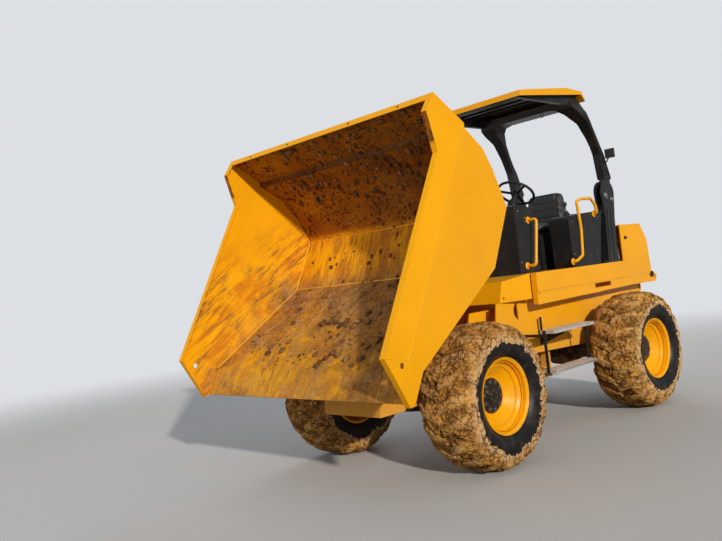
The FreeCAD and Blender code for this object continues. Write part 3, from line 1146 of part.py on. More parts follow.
def prism(points, low, high):
    """A solid from (x, z) corners between two places along Y."""
    corners = [V(p.x, low, p.y) for p in points]
    face = Part.Face(Part.makePolygon(corners + corners[:1]))
    return face.extrude(V(0, high - low, 0))


def skip_shape():
    wall = value("skip_wall")
    half = value("skip_half")
    slope = value("skip_slope")
    spots = [V(value(a), value(b), 0) for a, b in SKIP_SIDE]
    side = prism(spots, -half - 1, half + 1)
    # Section across the skip: upright strips above the fold, panels sloping inwards below it
    rear_x, front_x = spots[8].x - 60, spots[4].x + 60
    rise = value("(fold_front_z - fold_rear_z) / (lip_x - guard_x)")
    fold = value("fold_rear_z") + rise * (rear_x - value("guard_x"))
    deep = 900
    high = 600

    def section(inset):
        low_half = half - slope * deep - inset
        rim = half - inset
        corners = [
            V(rear_x, -rim, fold + high), V(rear_x, rim, fold + high), V(rear_x, rim, fold),
            V(rear_x, low_half, fold - deep), V(rear_x, -low_half, fold - deep), V(rear_x, -rim, fold),
        ]
        face = Part.Face(Part.makePolygon(corners + corners[:1]))
        long = front_x - rear_x
        return face.extrude(V(long, 0, rise * long))

    outside = section(0)
    inside = section(wall)
    sides = side.common(outside).cut(inside)
    # Floor, chute, lip, rear wall and spill guard as one bent sheet
    chain = [spots[i] for i in (4, 3, 2, 1, 0, 12, 11, 10, 9, 8)]
    chain = chain[1:]
    cap = chain[-1] + (spots[7] - spots[8]).normalize() * 60
    chain.append(cap)
    sheet_points = chain + list(reversed(offset_chain(chain, -wall)))
    sheet = prism(sheet_points, -half - 1, half + 1).common(outside)
    # Folded rim along the side plates' front and top edges
    rim_chain = [spots[i] for i in (3, 4, 5, 6, 7, 8)]
    rim_points = rim_chain + list(reversed(offset_chain(rim_chain, wall)))
    fold_in = value("rim_fold")
    rims = [
        prism(rim_points, half - fold_in, half),
        prism(rim_points, -half, -half + fold_in),
    ]
    body = sides.fuse([sheet] + rims)
    eyes = [
        Part.makeCylinder(value("skip_eye"), 2 * half + 20, V(value("eye_x"), -half - 10, value("eye_z")), V(0, 1, 0)),
    ]
    body = body.cut(eyes)
    return body.removeSplitter()


def skip_place():
    """Placement of the skip's level frame at rest: pivot on pivot, turned down to the tipped angle."""
    turn = FreeCAD.Rotation(V(0, 1, 0), value("tip_angle"))
    arm = turn.multVec(V(value("skip_pivot_x"), 0, value("skip_pivot_z")))
    return turn, V(value("tip_x"), 0, value("tip_z")) - arm


def skip():
    turn, spot = skip_place()
    where = (f"{spot.x:.4f}", "0", f"{spot.z:.4f}")
    keep(shaped("skip_tub_body", skip_shape()), "skip_tub", *where, turn)
    pieces = []
    gap = "fit_gap"
    for side, sign in SIDES:
        low, high = sided(sign, "rib_half - rib_plate / 2", "rib_half + rib_plate / 2")
        pieces.append(slab(f"skip_rib_{side}", [
            ("10", f"-{gap}"), ("floor_x", f"-{gap}"), ("chute_x - 20", f"chute_z - 12 - {gap}"), ("chute_x - 20", "chute_z - 60"),
            ("skip_pivot_x + 60", "skip_pivot_z - 10"), ("skip_pivot_x + 30", "skip_pivot_z - 52"),
            ("skip_pivot_x - 30", "skip_pivot_z - 52"), ("skip_pivot_x - 130", "-rib_deep"), ("60", "-rib_deep"), ("10", "-40"),
        ], low, high))
        for name, inner, outer in (("inner", "ram_half - ram_rad - 24", "ram_half - ram_rad - 8"), ("outer", "ram_half + ram_rad + 8", "ram_half + ram_rad + 24")):
            low, high = sided(sign, inner, outer)
            pieces.append(slab(f"ram_ear_{name}_{side}", [
                ("ram_eye_x - 120", f"-{gap}"), ("floor_x", f"-{gap}"), ("ram_eye_x + 110", f"(ram_eye_x + 110 - floor_x) * chute_z / (chute_x - floor_x) - {gap}"),
                ("ram_eye_x + 45", "ram_eye_z - 30"), ("ram_eye_x + 20", "ram_eye_z - 48"),
                ("ram_eye_x - 20", "ram_eye_z - 48"), ("ram_eye_x - 45", "ram_eye_z - 30"),
            ], low, high))
    for name, x in (("rear", "40"), ("front", "floor_x - 120")):
        pieces.append(box(f"skip_beam_{name}", (x, "-beam_half", "-60"), (f"{x} + 80", "beam_half", f"-{gap}")))
    whole = fuse("skip_frame_whole", *pieces)
    bores = [
        rod("skip_pivot_bore", "tip_rad + run_gap", ("skip_pivot_x", "-500", "skip_pivot_z"), "500", "y"),
        rod("skip_ram_bore", "ram_pin + run_gap", ("ram_eye_x", "-500", "ram_eye_z"), "500", "y"),
    ]
    keep(cut("skip_frame_cut", whole, *bores), "skip_frame", *where, turn)


left_tyre = tyre_shape()
for side, sign in SIDES:
    tyre = left_tyre if sign > 0 else left_tyre.mirror(V(), V(1, 0, 0))
    wheel("front", 1, side, sign, tyre)
    wheel("rear", -1, side, sign, tyre)
axle("front", 1)
axle("rear", -1)
frame_sides()
rear_frame()
keep(fuse("side_decks_whole", deck("left", 1), deck("right", -1)), "side_decks")
platform()
console()
steering_wheel()
seat()
handrails()
hood()
engine_bay()
steps()
rear_details()
lower_posts()
roof(roll_bar())
mirror()
centre_pivot()
front_frame()
tip_slope, tip_long = tip_rams()
lock_heading, lock_long = steering_ram()
skip()
doc.recompute()

faults = [piece.Name for piece in doc.Objects if "Invalid" in piece.State or "Error" in piece.State]
for piece in KEPT:
    if piece.Shape.isNull() or not piece.Shape.isValid():
        faults.append(piece.Label)
if faults:
    raise RuntimeError("failed: " + ", ".join(faults))

os.makedirs("parts", exist_ok=True)
for piece in KEPT:
    piece.Shape.exportStep(f"parts/{piece.Label}.step")
reach = Part.makeCompound([piece.Shape for piece in KEPT]).BoundBox
print("sub-parts", len(KEPT))
print("box", [round(v, 1) for v in (reach.XMin, reach.XMax, reach.YMin, reach.YMax, reach.ZMin, reach.ZMax)])
print("tipping ram slope and length", round(tip_slope, 4), round(tip_long, 2))
print("steering ram heading and length", round(lock_heading, 4), round(lock_long, 2))
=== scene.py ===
"""Looks of a centre-articulated site dumper with its skip tipped. Metres, in the model's own frame."""

import math

import bmesh
import bpy
import numpy as np
from mathutils import Matrix, Vector, noise


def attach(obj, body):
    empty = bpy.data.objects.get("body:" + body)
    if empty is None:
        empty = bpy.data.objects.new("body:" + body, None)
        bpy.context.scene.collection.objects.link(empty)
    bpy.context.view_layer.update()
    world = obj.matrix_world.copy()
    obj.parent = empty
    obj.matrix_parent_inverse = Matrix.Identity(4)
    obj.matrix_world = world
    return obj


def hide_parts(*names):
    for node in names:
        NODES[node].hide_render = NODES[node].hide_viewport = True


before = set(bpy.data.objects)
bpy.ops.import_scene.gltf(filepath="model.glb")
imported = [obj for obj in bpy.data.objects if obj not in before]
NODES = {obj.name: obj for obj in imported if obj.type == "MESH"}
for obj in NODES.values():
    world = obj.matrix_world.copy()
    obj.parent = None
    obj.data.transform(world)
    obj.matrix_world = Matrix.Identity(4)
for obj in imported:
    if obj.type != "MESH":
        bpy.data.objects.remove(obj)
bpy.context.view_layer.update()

# Camera: the photograph's frame and view
FRAME_WIDTH = 722
FOCAL_PIXELS = 757.94
SENSOR = 36.0
CAMERA_PLACE = Vector((5.9315, 4.6065, 1.5993))
CAMERA_AZIMUTH = math.radians(46.315)
CAMERA_ELEVATION = math.radians(-0.807)
CAMERA_ROLL = math.radians(-6.667)

# Wheels
AXLE_HEIGHT = 0.586
TYRE_RADIUS = 0.586
WHEELS = {
    "front_left": (1.146, 0.845), "front_right": (1.146, -0.845),
    "rear_left": (-1.430, 0.845), "rear_right": (-1.430, -0.845),
}

# Outer faces that trim stands on: distance from the middle plane
CONSOLE_SIDE = 0.465
COVER_SIDE = 0.602
POST_SIDE = 0.606
FRAME_SIDE = 0.470
SKIRT_SIDE = 0.610
TREAD_TOPS = (0.955, 0.595)
ROOF_MIDDLE = -0.80
RAIL_FEET = [
    (-0.217, CONSOLE_SIDE, 1.560), (-0.312, CONSOLE_SIDE, 1.998),
    (-0.810, COVER_SIDE, 1.548), (-1.320, COVER_SIDE, 2.018),
]
LEG_EDGES = [  # height, front and rear edge of the roll bar's leg
    (2.415, -1.655, -1.775), (2.655, -1.604, -1.680), (2.835, -1.522, -1.570),
    (3.000, -1.407, -1.482), (3.075, -1.330, -1.430),
]

# Skip: its tipping pin, the tipped angle, and then places in its own level frame,
# where x starts at the floor's rear end and z at the underside of the floor's plate
TIP_PIVOT = Vector((1.503, 0.0, 1.270))
TIP_ANGLE = math.radians(62.4)
PIVOT_IN_SKIP = Vector((0.895, 0.0, 0.050))
SKIP_MIDDLE = (0.75, 0.0, 0.62)
CHUTE_ANGLE = math.radians(30.0)
SKIP_HALF = 1.25
SKIP_WALL = 0.010
FLOOR_HALF = SKIP_HALF - 0.0705
FLOOR_END = 0.520
FOLD_REAR = (-0.315, 0.716)
FOLD_RISE = 0.0175
FOLD_FRONT = 1.495
RIM_MIDDLE = (-0.3193, 1.0835)
RIM_OUT = (-0.149, 0.989)
CLOD_ZONES = [  # profile's start and end, half width, count, smallest and largest clod
    ((-0.343, 1.030), (-0.318, 0.750), 1.12, 60, 0.008, 0.026),
    ((-0.282, 0.690), (-0.262, 0.440), 1.08, 110, 0.008, 0.030),
    ((-0.262, 0.440), (-0.185, 0.280), 1.06, 60, 0.007, 0.024),
    ((-0.185, 0.280), (0.000, 0.000), 1.04, 60, 0.006, 0.020),
    ((0.060, 0.000), (FLOOR_END, 0.000), 1.04, 50, 0.006, 0.022),
    ((FLOOR_END, 0.000), (1.480, 0.560), 1.06, 190, 0.006, 0.034),
]

# Studio: where the floor fades into the backdrop, and where the key light comes from
FADE_START = 6.0
FADE_END = 13.0
BACKDROP = (0.72, 0.74, 0.77)
KEY_FROM = (0.465, 1.0, 0.415)
KEY_POWER = 2.95
KEY_SPREAD = 0.035
KEY_TINT = (1.0, 0.95, 0.87)
SKY_TINT = (0.78, 0.87, 1.0)
SKY_POWER = 0.33
UNSEEN_FLOOR = (0.24, 0.21, 0.18)

# Colours, linear
YELLOW = (0.93, 0.405, 0.0003)
BLACK = (0.012, 0.012, 0.013)
RUBBER = (0.011, 0.010, 0.010)
MUD = (0.33, 0.155, 0.048)
WET_MUD = (0.115, 0.046, 0.014)
DRY_MUD = (0.52, 0.29, 0.115)
PALE_MUD = (0.74, 0.46, 0.22)
RUST = (0.60, 0.185, 0.006)
SMEAR = (0.20, 0.105, 0.028)
# Brown film, darkened as painted shade, for the skip's rear wall
STAIN_AND_SHADE = (0.22, 0.042, 0.002)
CLOD = (0.022, 0.009, 0.004)
DUST = (0.36, 0.25, 0.15)
PRIMER = (0.16, 0.09, 0.05)
WORN_EDGE = (0.22, 0.11, 0.05)
# Pale edge colour on black paint: rubbed paint and painted highlight
EDGE_WEAR_AND_HIGHLIGHT = (0.17, 0.17, 0.18)
# Painted shade under the roof
ROOF_UNDER_SHADE = (0.018, 0.015, 0.012)
# Soil colour darkened as painted shadow inside the skip's near side
SOIL_AND_SHADE = (0.15, 0.052, 0.010)
FLOOR_SMEAR = (0.42, 0.15, 0.012)
SPLASH_FADE = 0.75


class Finish:
    """One material's node tree, with short calls for the nodes that it uses."""

    def __init__(self, name, rough=0.5, metal=0.0, coat=0.0, shine=0.4):
        self.material = bpy.data.materials.new(name)
        self.material.use_nodes = True
        self.tree = self.material.node_tree
        self.shader = self.tree.nodes["Principled BSDF"]
        self.shader.inputs["Roughness"].default_value = rough
        self.shader.inputs["Metallic"].default_value = metal
        self.shader.inputs["Coat Weight"].default_value = coat
        self.shader.inputs["Coat Roughness"].default_value = 0.12
        self.shader.inputs["Specular IOR Level"].default_value = shine
        place = self.add("ShaderNodeTexCoord")
        self.place = place.outputs["Object"]
        self.normal = place.outputs["Normal"]

    def add(self, kind, **settings):
        node = self.tree.nodes.new(kind)
        for key, setting in settings.items():
            setattr(node, key, setting)
        return node

    def join(self, source, socket):
        if hasattr(source, "is_linked"):
            self.tree.links.new(source, socket)
        elif hasattr(socket.default_value, "__len__"):
            wanted = len(socket.default_value)
            socket.default_value = (tuple(source) + (1.0,))[:wanted]
        else:
            socket.default_value = source

    def noise(self, scale, detail=4.0, rough=0.55, place=None, warp=0.0):
        node = self.add("ShaderNodeTexNoise")
        self.join(place or self.place, node.inputs["Vector"])
        node.inputs["Scale"].default_value = scale
        node.inputs["Detail"].default_value = detail
        node.inputs["Roughness"].default_value = rough
        node.inputs["Distortion"].default_value = warp
        return node.outputs["Fac"]

    def math(self, job, a, b=0.0, clamp=False):
        node = self.add("ShaderNodeMath", operation=job, use_clamp=clamp)
        self.join(a, node.inputs[0])
        self.join(b, node.inputs[1])
        return node.outputs[0]

    def times(self, product, *others):
        for other in others:
            product = self.math("MULTIPLY", product, other)
        return product

    def plus(self, a, b, clamp=False):
        return self.math("ADD", a, b, clamp)

    def minus(self, a, b):
        return self.math("SUBTRACT", a, b)

    def vector(self, job, a, b=(0, 0, 0)):
        node = self.add("ShaderNodeVectorMath", operation=job)
        self.join(a, node.inputs[0])
        self.join(b, node.inputs[1])
        return node.outputs["Value" if job == "DOT_PRODUCT" else "Vector"]

    def distance(self, a, b):
        """How far (a, b) lies from the origin."""
        return self.math("SQRT", self.plus(self.math("POWER", a, 2.0), self.math("POWER", b, 2.0)))

    def part(self, vector):
        node = self.add("ShaderNodeSeparateXYZ")
        self.join(vector, node.inputs[0])
        return node.outputs

    def step(self, value, low, high, a=0.0, b=1.0):
        """A smooth step: a below low, b above high."""
        node = self.add("ShaderNodeMapRange", interpolation_type="SMOOTHSTEP")
        self.join(value, node.inputs["Value"])
        for socket, amount in zip(("From Min", "From Max", "To Min", "To Max"), (low, high, a, b)):
            node.inputs[socket].default_value = amount
        return node.outputs["Result"]

    def mix(self, share, a, b):
        node = self.add("ShaderNodeMix", data_type="RGBA")
        self.join(share, node.inputs[0])
        self.join(a, node.inputs[6])
        self.join(b, node.inputs[7])
        return node.outputs[2]

    def turned(self, place, spin=(0, 0, 0), shift=(0, 0, 0), scale=(1, 1, 1)):
        node = self.add("ShaderNodeMapping")
        self.join(place, node.inputs["Vector"])
        self.join(shift, node.inputs["Location"])
        self.join(spin, node.inputs["Rotation"])
        self.join(scale, node.inputs["Scale"])
        return node.outputs["Vector"]

    def edges(self, width=0.006):
        """Nearly 1 along sharp edges, 0 on flat faces."""
        bevel = self.add("ShaderNodeBevel", samples=4)
        bevel.inputs["Radius"].default_value = width
        flat = self.add("ShaderNodeNewGeometry").outputs["Normal"]
        return self.step(self.vector("DOT_PRODUCT", bevel.outputs[0], flat), 0.86, 0.995, 1.0, 0.0)

    def attribute(self, name):
        return self.add("ShaderNodeAttribute", attribute_name=name).outputs["Fac"]

    def bump(self, height, strength, distance):
        node = self.add("ShaderNodeBump")
        node.inputs["Strength"].default_value = strength
        node.inputs["Distance"].default_value = distance
        self.join(height, node.inputs["Height"])
        last = self.shader.inputs["Normal"]
        if last.is_linked:
            self.join(last.links[0].from_socket, node.inputs["Normal"])
        self.join(node.outputs[0], last)

    def colour(self, source):
        self.join(source, self.shader.inputs["Base Color"])

    def roughness(self, source):
        self.join(source, self.shader.inputs["Roughness"])


def shade(colour, amount):
    return tuple(amount * c for c in colour)


def soil_colour(paint, scale):
    """Blotchy brown soil."""
    broad = paint.step(paint.noise(scale, 6.0, 0.62), 0.34, 0.66)
    fine = paint.step(paint.noise(scale * 7, 5.0, 0.6), 0.35, 0.72)
    return paint.mix(fine, paint.mix(broad, WET_MUD, MUD), paint.mix(broad, MUD, DRY_MUD))


def enamel(name, dusty, splash_top):
    """Satin yellow enamel with faint mottling, dust on ledges, and soil splashed up from below."""
    paint = Finish(name, rough=0.40, coat=0.03, shine=0.18)
    mottle = paint.step(paint.noise(2.2, 5.0), 0.3, 0.75)
    base = paint.mix(mottle, shade(YELLOW, 0.90), YELLOW)
    low = paint.step(paint.part(paint.place)[2], splash_top - SPLASH_FADE, splash_top, 1.0, 0.0)
    spots = paint.step(paint.noise(95.0, 3.0, 0.65, warp=0.4), 0.60, 0.70)
    film = paint.step(paint.noise(4.5, 6.0, 0.7), 0.42, 0.75)
    up = paint.step(paint.part(paint.normal)[2], 0.35, 0.95, 0.25, 1.0)
    dust = paint.times(film, up, dusty)
    splash = paint.times(spots, paint.times(low, paint.step(paint.noise(7.0), 0.35, 0.6)))
    chips = paint.times(paint.edges(0.004), paint.step(paint.noise(42.0, 4.0, 0.7), 0.56, 0.66))
    colour = paint.mix(dust, base, DUST)
    colour = paint.mix(paint.times(low, 0.28), colour, DUST)
    colour = paint.mix(splash, colour, MUD)
    paint.colour(paint.mix(paint.times(chips, 0.75), colour, PRIMER))
    paint.roughness(paint.plus(0.3, paint.times(paint.plus(dust, splash), 0.5), clamp=True))
    paint.bump(paint.noise(260.0, 2.0), 0.04, 0.002)
    paint.bump(splash, 0.35, 0.003)
    return paint


def yellow_paint(name="yellow", dusty=0.35, splash_top=1.25):
    return enamel(name, dusty, splash_top).material


def roof_paint():
    """The enamel above and outside; painted shade, a near-black colour, on faces that look down or towards
    the roof's middle.
    """
    paint = enamel("roof_paint", 0.3, 0.5)
    outside = paint.shader.inputs["Base Color"].links[0].from_socket
    below = paint.math("LESS_THAN", paint.part(paint.normal)[2], -0.9)
    away = paint.vector("SUBTRACT", paint.place, (ROOF_MIDDLE, 0, 0))
    off_middle = paint.vector("MULTIPLY", away, (1, 1, 0))
    inward = paint.math("LESS_THAN", paint.vector("DOT_PRODUCT", off_middle, paint.normal), -0.45)
    # Painted shade: faces that look down or inward get a near-black colour
    paint.colour(paint.mix(paint.math("MAXIMUM", below, inward), outside, ROOF_UNDER_SHADE))
    return paint.material


def skip_paint():
    """Yellow outside; inside, orange stains along the load's path, dark specks and soil on the chute."""
    paint = Finish("skip_paint", rough=0.42, coat=0.0, shine=0.18)
    # Into the skip's level frame: x from the floor's rear end, z above the floor
    away = paint.vector("SUBTRACT", paint.place, tuple(TIP_PIVOT))
    level = paint.turned(away, spin=(0, -TIP_ANGLE, 0), shift=tuple(PIVOT_IN_SKIP))
    along, across, above = paint.part(level)
    middle = paint.vector("SUBTRACT", level, SKIP_MIDDLE)
    level_normal = paint.turned(paint.normal, spin=(0, -TIP_ANGLE, 0))
    facing = paint.vector("DOT_PRODUCT", level_normal, middle)
    inside = paint.step(facing, -0.02, 0.02, 1.0, 0.0)
    mottle = paint.step(paint.noise(1.7, 5.0), 0.3, 0.75)
    base = paint.mix(mottle, shade(YELLOW, 0.92), YELLOW)
    # Orange stains and brown smears that run with the load, down to the lip
    side_face = paint.step(paint.math("ABSOLUTE", paint.part(level_normal)[1]), 0.3, 0.6)
    leaning = paint.turned(level, spin=(0, CHUTE_ANGLE, 0))
    grain = paint.turned(paint.mix(side_face, level, leaning), scale=(1.0, 6.0, 8.5))
    streak = paint.step(paint.noise(2.1, 8.0, 0.70, place=grain, warp=0.35), 0.43, 0.58)
    thin = paint.step(paint.noise(4.6, 8.0, 0.72, place=grain, warp=0.2), 0.46, 0.60)
    stain_zone = paint.step(paint.noise(2.4, 5.0, 0.6, warp=0.4), 0.34, 0.54)
    beside = paint.turned(level, shift=(3, 1, 2))
    smear_zone = paint.step(paint.noise(3.1, 6.0, 0.62, place=beside), 0.42, 0.57)
    clear = paint.step(paint.plus(along, paint.times(above, -0.9)), -0.55, 0.10)
    stain = paint.times(streak, stain_zone, clear)
    smear = paint.times(thin, smear_zone, clear)
    colour = paint.mix(paint.times(stain, 0.9, inside), base, RUST)
    colour = paint.mix(paint.times(smear, 0.75, inside), colour, SMEAR)
    # Rear wall: a dark brown that is partly a brown film and partly painted shade under the rim, under dark
    # clods that cling to it
    end_face = paint.times(paint.step(side_face, 0.2, 0.8, 1.0, 0.0), inside)
    rear = paint.times(paint.step(along, -0.035, -0.005, 1.0, 0.0), end_face)
    film = paint.step(paint.noise(1.6, 6.0, 0.66), 0.25, 0.70, 0.62, 1.0)
    colour = paint.mix(paint.times(rear, film), colour, STAIN_AND_SHADE)
    # Painted shade: a dark line along the spill guard's foot step
    ledge_shade = paint.step(paint.math("ABSOLUTE", paint.minus(above, 0.708)), 0.012, 0.022, 0.6, 0.0)
    colour = paint.mix(paint.times(ledge_shade, rear), colour, CLOD)
    # Towards the near side plate: darker brown, partly soil and partly painted shadow cast by that plate
    near_soil_and_shade = paint.times(paint.step(across, -0.55, 0.75), paint.step(paint.noise(5.0, 7.0, 0.7), 0.30, 0.60))
    near_soil_and_shade = paint.times(near_soil_and_shade, paint.step(across, 1.10, 1.18, 1.0, 0.0), inside)
    colour = paint.mix(paint.times(near_soil_and_shade, 0.8), colour, SOIL_AND_SHADE)
    floor_smear = paint.times(thin, paint.step(above, 0.02, 0.25, 1.0, 0.0))
    floor_smear = paint.times(floor_smear, inside, 0.85)
    colour = paint.mix(floor_smear, colour, FLOOR_SMEAR)
    cling = paint.step(paint.noise(27.0, 6.0, 0.75, warp=0.8), 0.535, 0.575)
    beyond = paint.turned(level, shift=(7, 2, 5))
    cling_zone = paint.step(paint.noise(3.3, 5.0, 0.65, place=beyond), 0.40, 0.56)
    cling = paint.times(cling, cling_zone, rear)
    # Soil: gravelly on the chute, thinning up the walls
    wall_height = paint.plus(above, paint.times(paint.noise(3.4, 6.0, 0.65), -0.75))
    chute = paint.step(paint.minus(wall_height, paint.times(along, 0.36)), -0.58, -0.20, 1.0, 0.0)
    chute = paint.times(chute, paint.step(along, 0.30, 0.62))
    grit = paint.step(paint.noise(24.0, 7.0, 0.74, warp=0.3), 0.38, 0.56)
    thick = paint.times(chute, inside, paint.plus(grit, 0.45, clamp=True))
    specks = paint.step(paint.noise(46.0, 5.0, 0.75, warp=0.8), 0.62, 0.67)
    speck_zone = paint.step(paint.noise(2.6, 4.0), 0.42, 0.62)
    specks = paint.times(specks, speck_zone, inside)
    colour = paint.mix(thick, colour, soil_colour(paint, 7.0))
    colour = paint.mix(specks, colour, WET_MUD)
    pebbles = paint.times(paint.step(paint.noise(85.0, 2.0, 0.5), 0.66, 0.70), thick)
    colour = paint.mix(pebbles, colour, PALE_MUD)
    colour = paint.mix(cling, colour, CLOD)
    # Worn rims
    chips = paint.times(paint.edges(0.006), paint.step(paint.noise(30.0, 4.0, 0.7), 0.52, 0.64))
    colour = paint.mix(paint.times(chips, 0.8), colour, WORN_EDGE)
    paint.colour(colour)
    soil = paint.math("MAXIMUM", paint.math("MAXIMUM", thick, specks), cling)
    scoured = paint.times(inside, 0.25)
    paint.roughness(paint.plus(paint.plus(0.36, scoured), paint.times(soil, 0.35), clamp=True))
    paint.bump(paint.times(soil, paint.noise(40.0, 6.0, 0.7)), 0.7, 0.012)
    paint.bump(paint.noise(3.0, 2.0), 0.15, 0.02)
    return paint.material


def black_paint(name="black_paint", rough=0.42, dusty=0.35):
    """Satin black with pale edges, partly rubbed paint and partly a painted highlight, and a film of dust.
    """
    paint = Finish(name, rough=rough)
    film = paint.step(paint.noise(6.0, 6.0, 0.7), 0.40, 0.78)
    up = paint.step(paint.part(paint.normal)[2], 0.2, 0.95, 0.35, 1.0)
    dust = paint.times(film, up, dusty)
    # Pale sharp edges: partly rubbed paint, partly painted highlight
    edge = paint.times(paint.edges(0.004), 0.45)
    colour = paint.mix(dust, BLACK, DUST)
    paint.colour(paint.mix(edge, colour, EDGE_WEAR_AND_HIGHLIGHT))
    paint.roughness(paint.plus(rough, paint.times(dust, 0.5), clamp=True))
    paint.bump(paint.noise(300.0, 2.0), 0.06, 0.001)
    return paint.material


def grained_plastic(name="black_plastic"):
    """Moulded black plastic with a leather-like grain."""
    paint = Finish(name, rough=0.5, shine=0.3)
    cells = paint.add("ShaderNodeTexVoronoi", feature="DISTANCE_TO_EDGE")
    paint.join(paint.place, cells.inputs["Vector"])
    cells.inputs["Scale"].default_value = 420.0
    film = paint.times(paint.step(paint.noise(8.0, 6.0, 0.7), 0.45, 0.8), 0.08)
    paint.colour(paint.mix(film, (0.013, 0.013, 0.0145), DUST))
    paint.roughness(paint.plus(0.46, paint.times(film, 0.8), clamp=True))
    paint.bump(paint.step(cells.outputs["Distance"], 0.0, 0.25), 0.25, 0.0006)
    return paint.material


def dusty_iron(name, base, soil_share=0.6, rough=0.6):
    """Painted castings below the deck, under dried soil."""
    paint = Finish(name, rough=rough)
    cake = paint.step(paint.noise(7.5, 6.0, 0.68), 0.62 - 0.3 * soil_share, 0.80 - 0.3 * soil_share)
    colour = paint.mix(paint.noise(30.0, 4.0), base, shade(base, 1.8))
    paint.colour(paint.mix(cake, colour, soil_colour(paint, 12.0)))
    paint.roughness(paint.plus(rough, paint.times(cake, 0.35), clamp=True))
    paint.bump(paint.times(cake, paint.noise(55.0, 6.0, 0.7)), 0.7, 0.008)
    return paint.material


def rubber_and_mud():
    """Black rubber where the mud attribute is low; cracked soil where it is high, pale at its edge."""
    paint = Finish("tyre_mud", rough=0.8, shine=0.25)
    mud = paint.attribute("mud")
    ragged = paint.plus(mud, paint.times(paint.minus(paint.noise(45.0, 6.0, 0.7), 0.5), 0.8))
    share = paint.step(ragged, 0.40, 0.50)
    film = paint.times(paint.step(paint.noise(14.0, 5.0), 0.45, 0.8), 0.10)
    rubber = paint.mix(film, RUBBER, DUST)
    soil = paint.vector("MULTIPLY", soil_colour(paint, 10.0), (1.9, 1.85, 1.1))
    smeared = paint.times(paint.attribute("lug"), paint.step(paint.noise(12.0, 6.0, 0.7), 0.45, 0.58))
    soil = paint.mix(paint.times(smeared, 0.55), soil, PALE_MUD)
    rim_of_soil = paint.times(paint.attribute("soil_edge"), paint.step(paint.noise(28.0, 5.0), 0.22, 0.50))
    soil = paint.mix(paint.times(rim_of_soil, 0.95), soil, PALE_MUD)
    # Cracks between clods, and painted shade in the open grooves between lugs
    cells = paint.add("ShaderNodeTexVoronoi", feature="DISTANCE_TO_EDGE")
    wander = paint.add("ShaderNodeTexNoise")
    paint.join(paint.place, wander.inputs["Vector"])
    wander.inputs["Scale"].default_value = 14.0
    wander.inputs["Detail"].default_value = 5.0
    bend = paint.vector("MULTIPLY", wander.outputs["Color"], (0.09, 0.09, 0.09))
    paint.join(paint.vector("ADD", paint.place, bend), cells.inputs["Vector"])
    cells.inputs["Scale"].default_value = 17.0
    crack = paint.step(cells.outputs["Distance"], 0.012, 0.09, 1.0, 0.0)
    crack = paint.times(crack, paint.step(paint.noise(9.0, 3.0), 0.40, 0.55))
    # Painted shade: the open grooves darken towards dark wet mud
    dark = paint.math("MAXIMUM", paint.times(crack, 0.8), paint.times(paint.attribute("groove"), 0.7))
    soil = paint.mix(dark, soil, shade(WET_MUD, 0.7))
    paint.colour(paint.mix(share, rubber, soil))
    paint.roughness(paint.step(share, 0.0, 1.0, 0.42, 0.95))
    height = paint.minus(paint.noise(60.0, 9.0, 0.75), paint.times(crack, 0.7))
    paint.bump(paint.times(height, share), 1.0, 0.016)
    paint.bump(paint.noise(240.0, 3.0, 0.6), 0.2, 0.002)
    return paint.material


def rim_paint(name, centre):
    """Yellow wheel with soil in its corners, by distance from the axle."""
    paint = Finish(name, rough=0.32, coat=0.03, shine=0.22)
    x, y, z = paint.part(paint.vector("SUBTRACT", paint.place, centre))
    radius = paint.distance(x, z)
    corner = paint.step(radius, 0.225, 0.285)
    ragged = paint.plus(corner, paint.times(paint.minus(paint.noise(24.0, 6.0, 0.7), 0.5), 1.3))
    soil = paint.times(paint.step(ragged, 0.95, 1.35), 0.6)
    spots = paint.step(paint.noise(110.0, 3.0, 0.65), 0.68, 0.73)
    colour = paint.mix(paint.step(paint.noise(5.0), 0.3, 0.7), shade(YELLOW, 0.9), YELLOW)
    colour = paint.mix(paint.times(paint.step(paint.noise(9.0, 6.0), 0.5, 0.75), 0.15), colour, DUST)
    colour = paint.mix(soil, colour, MUD)
    paint.colour(paint.mix(spots, colour, MUD))
    paint.roughness(paint.plus(0.34, paint.times(soil, 0.5), clamp=True))
    paint.bump(paint.times(soil, paint.noise(60.0, 5.0)), 0.6, 0.006)
    return paint.material


def bright_metal(name, base, rough, soil_share=0.0, metal=1.0):
    paint = Finish(name, rough=rough, metal=metal)
    scuff = paint.step(paint.noise(60.0, 5.0, 0.7), 0.4, 0.75)
    soil = paint.times(paint.step(paint.noise(16.0, 6.0, 0.7), 0.45, 0.7), soil_share)
    paint.colour(paint.mix(soil, paint.mix(scuff, base, shade(base, 0.75)), DRY_MUD))
    paint.roughness(paint.plus(rough, paint.times(soil, 0.6), clamp=True))
    return paint.material


def lamp_glass():
    paint = Finish("lamp_glass", rough=0.12)
    x, y, z = paint.part(paint.place)
    ribs = paint.math("SINE", paint.times(y, 700.0))
    paint.colour(paint.mix(paint.step(z, 0.0, 1.13), (0.5, 0.015, 0.01), (0.55, 0.02, 0.012)))
    paint.bump(ribs, 0.3, 0.002)
    return paint.material


def seat_vinyl():
    """Black vinyl with a fine pebble and dust in the folds."""
    paint = Finish("seat_vinyl", rough=0.55)
    film = paint.times(paint.step(paint.noise(9.0, 6.0), 0.4, 0.8), 0.25)
    paint.colour(paint.mix(film, (0.018, 0.018, 0.019), DUST))
    paint.bump(paint.noise(380.0, 3.0, 0.6), 0.18, 0.001)
    return paint.material


def give(material, *names):
    for name in names:
        mesh = NODES[name].data
        mesh.materials.clear()
        mesh.materials.append(material)


def placed(name, data):
    made = bpy.data.objects.new(name, data)
    bpy.context.scene.collection.objects.link(made)
    return made


def smoothed(mesh):
    mesh.polygons.foreach_set("use_smooth", [True] * len(mesh.polygons))


def circle(middle, radius, side, up, count):
    turns = [2 * math.pi * k / count for k in range(count)]
    return [middle + radius * (math.cos(t) * side + math.sin(t) * up) for t in turns]


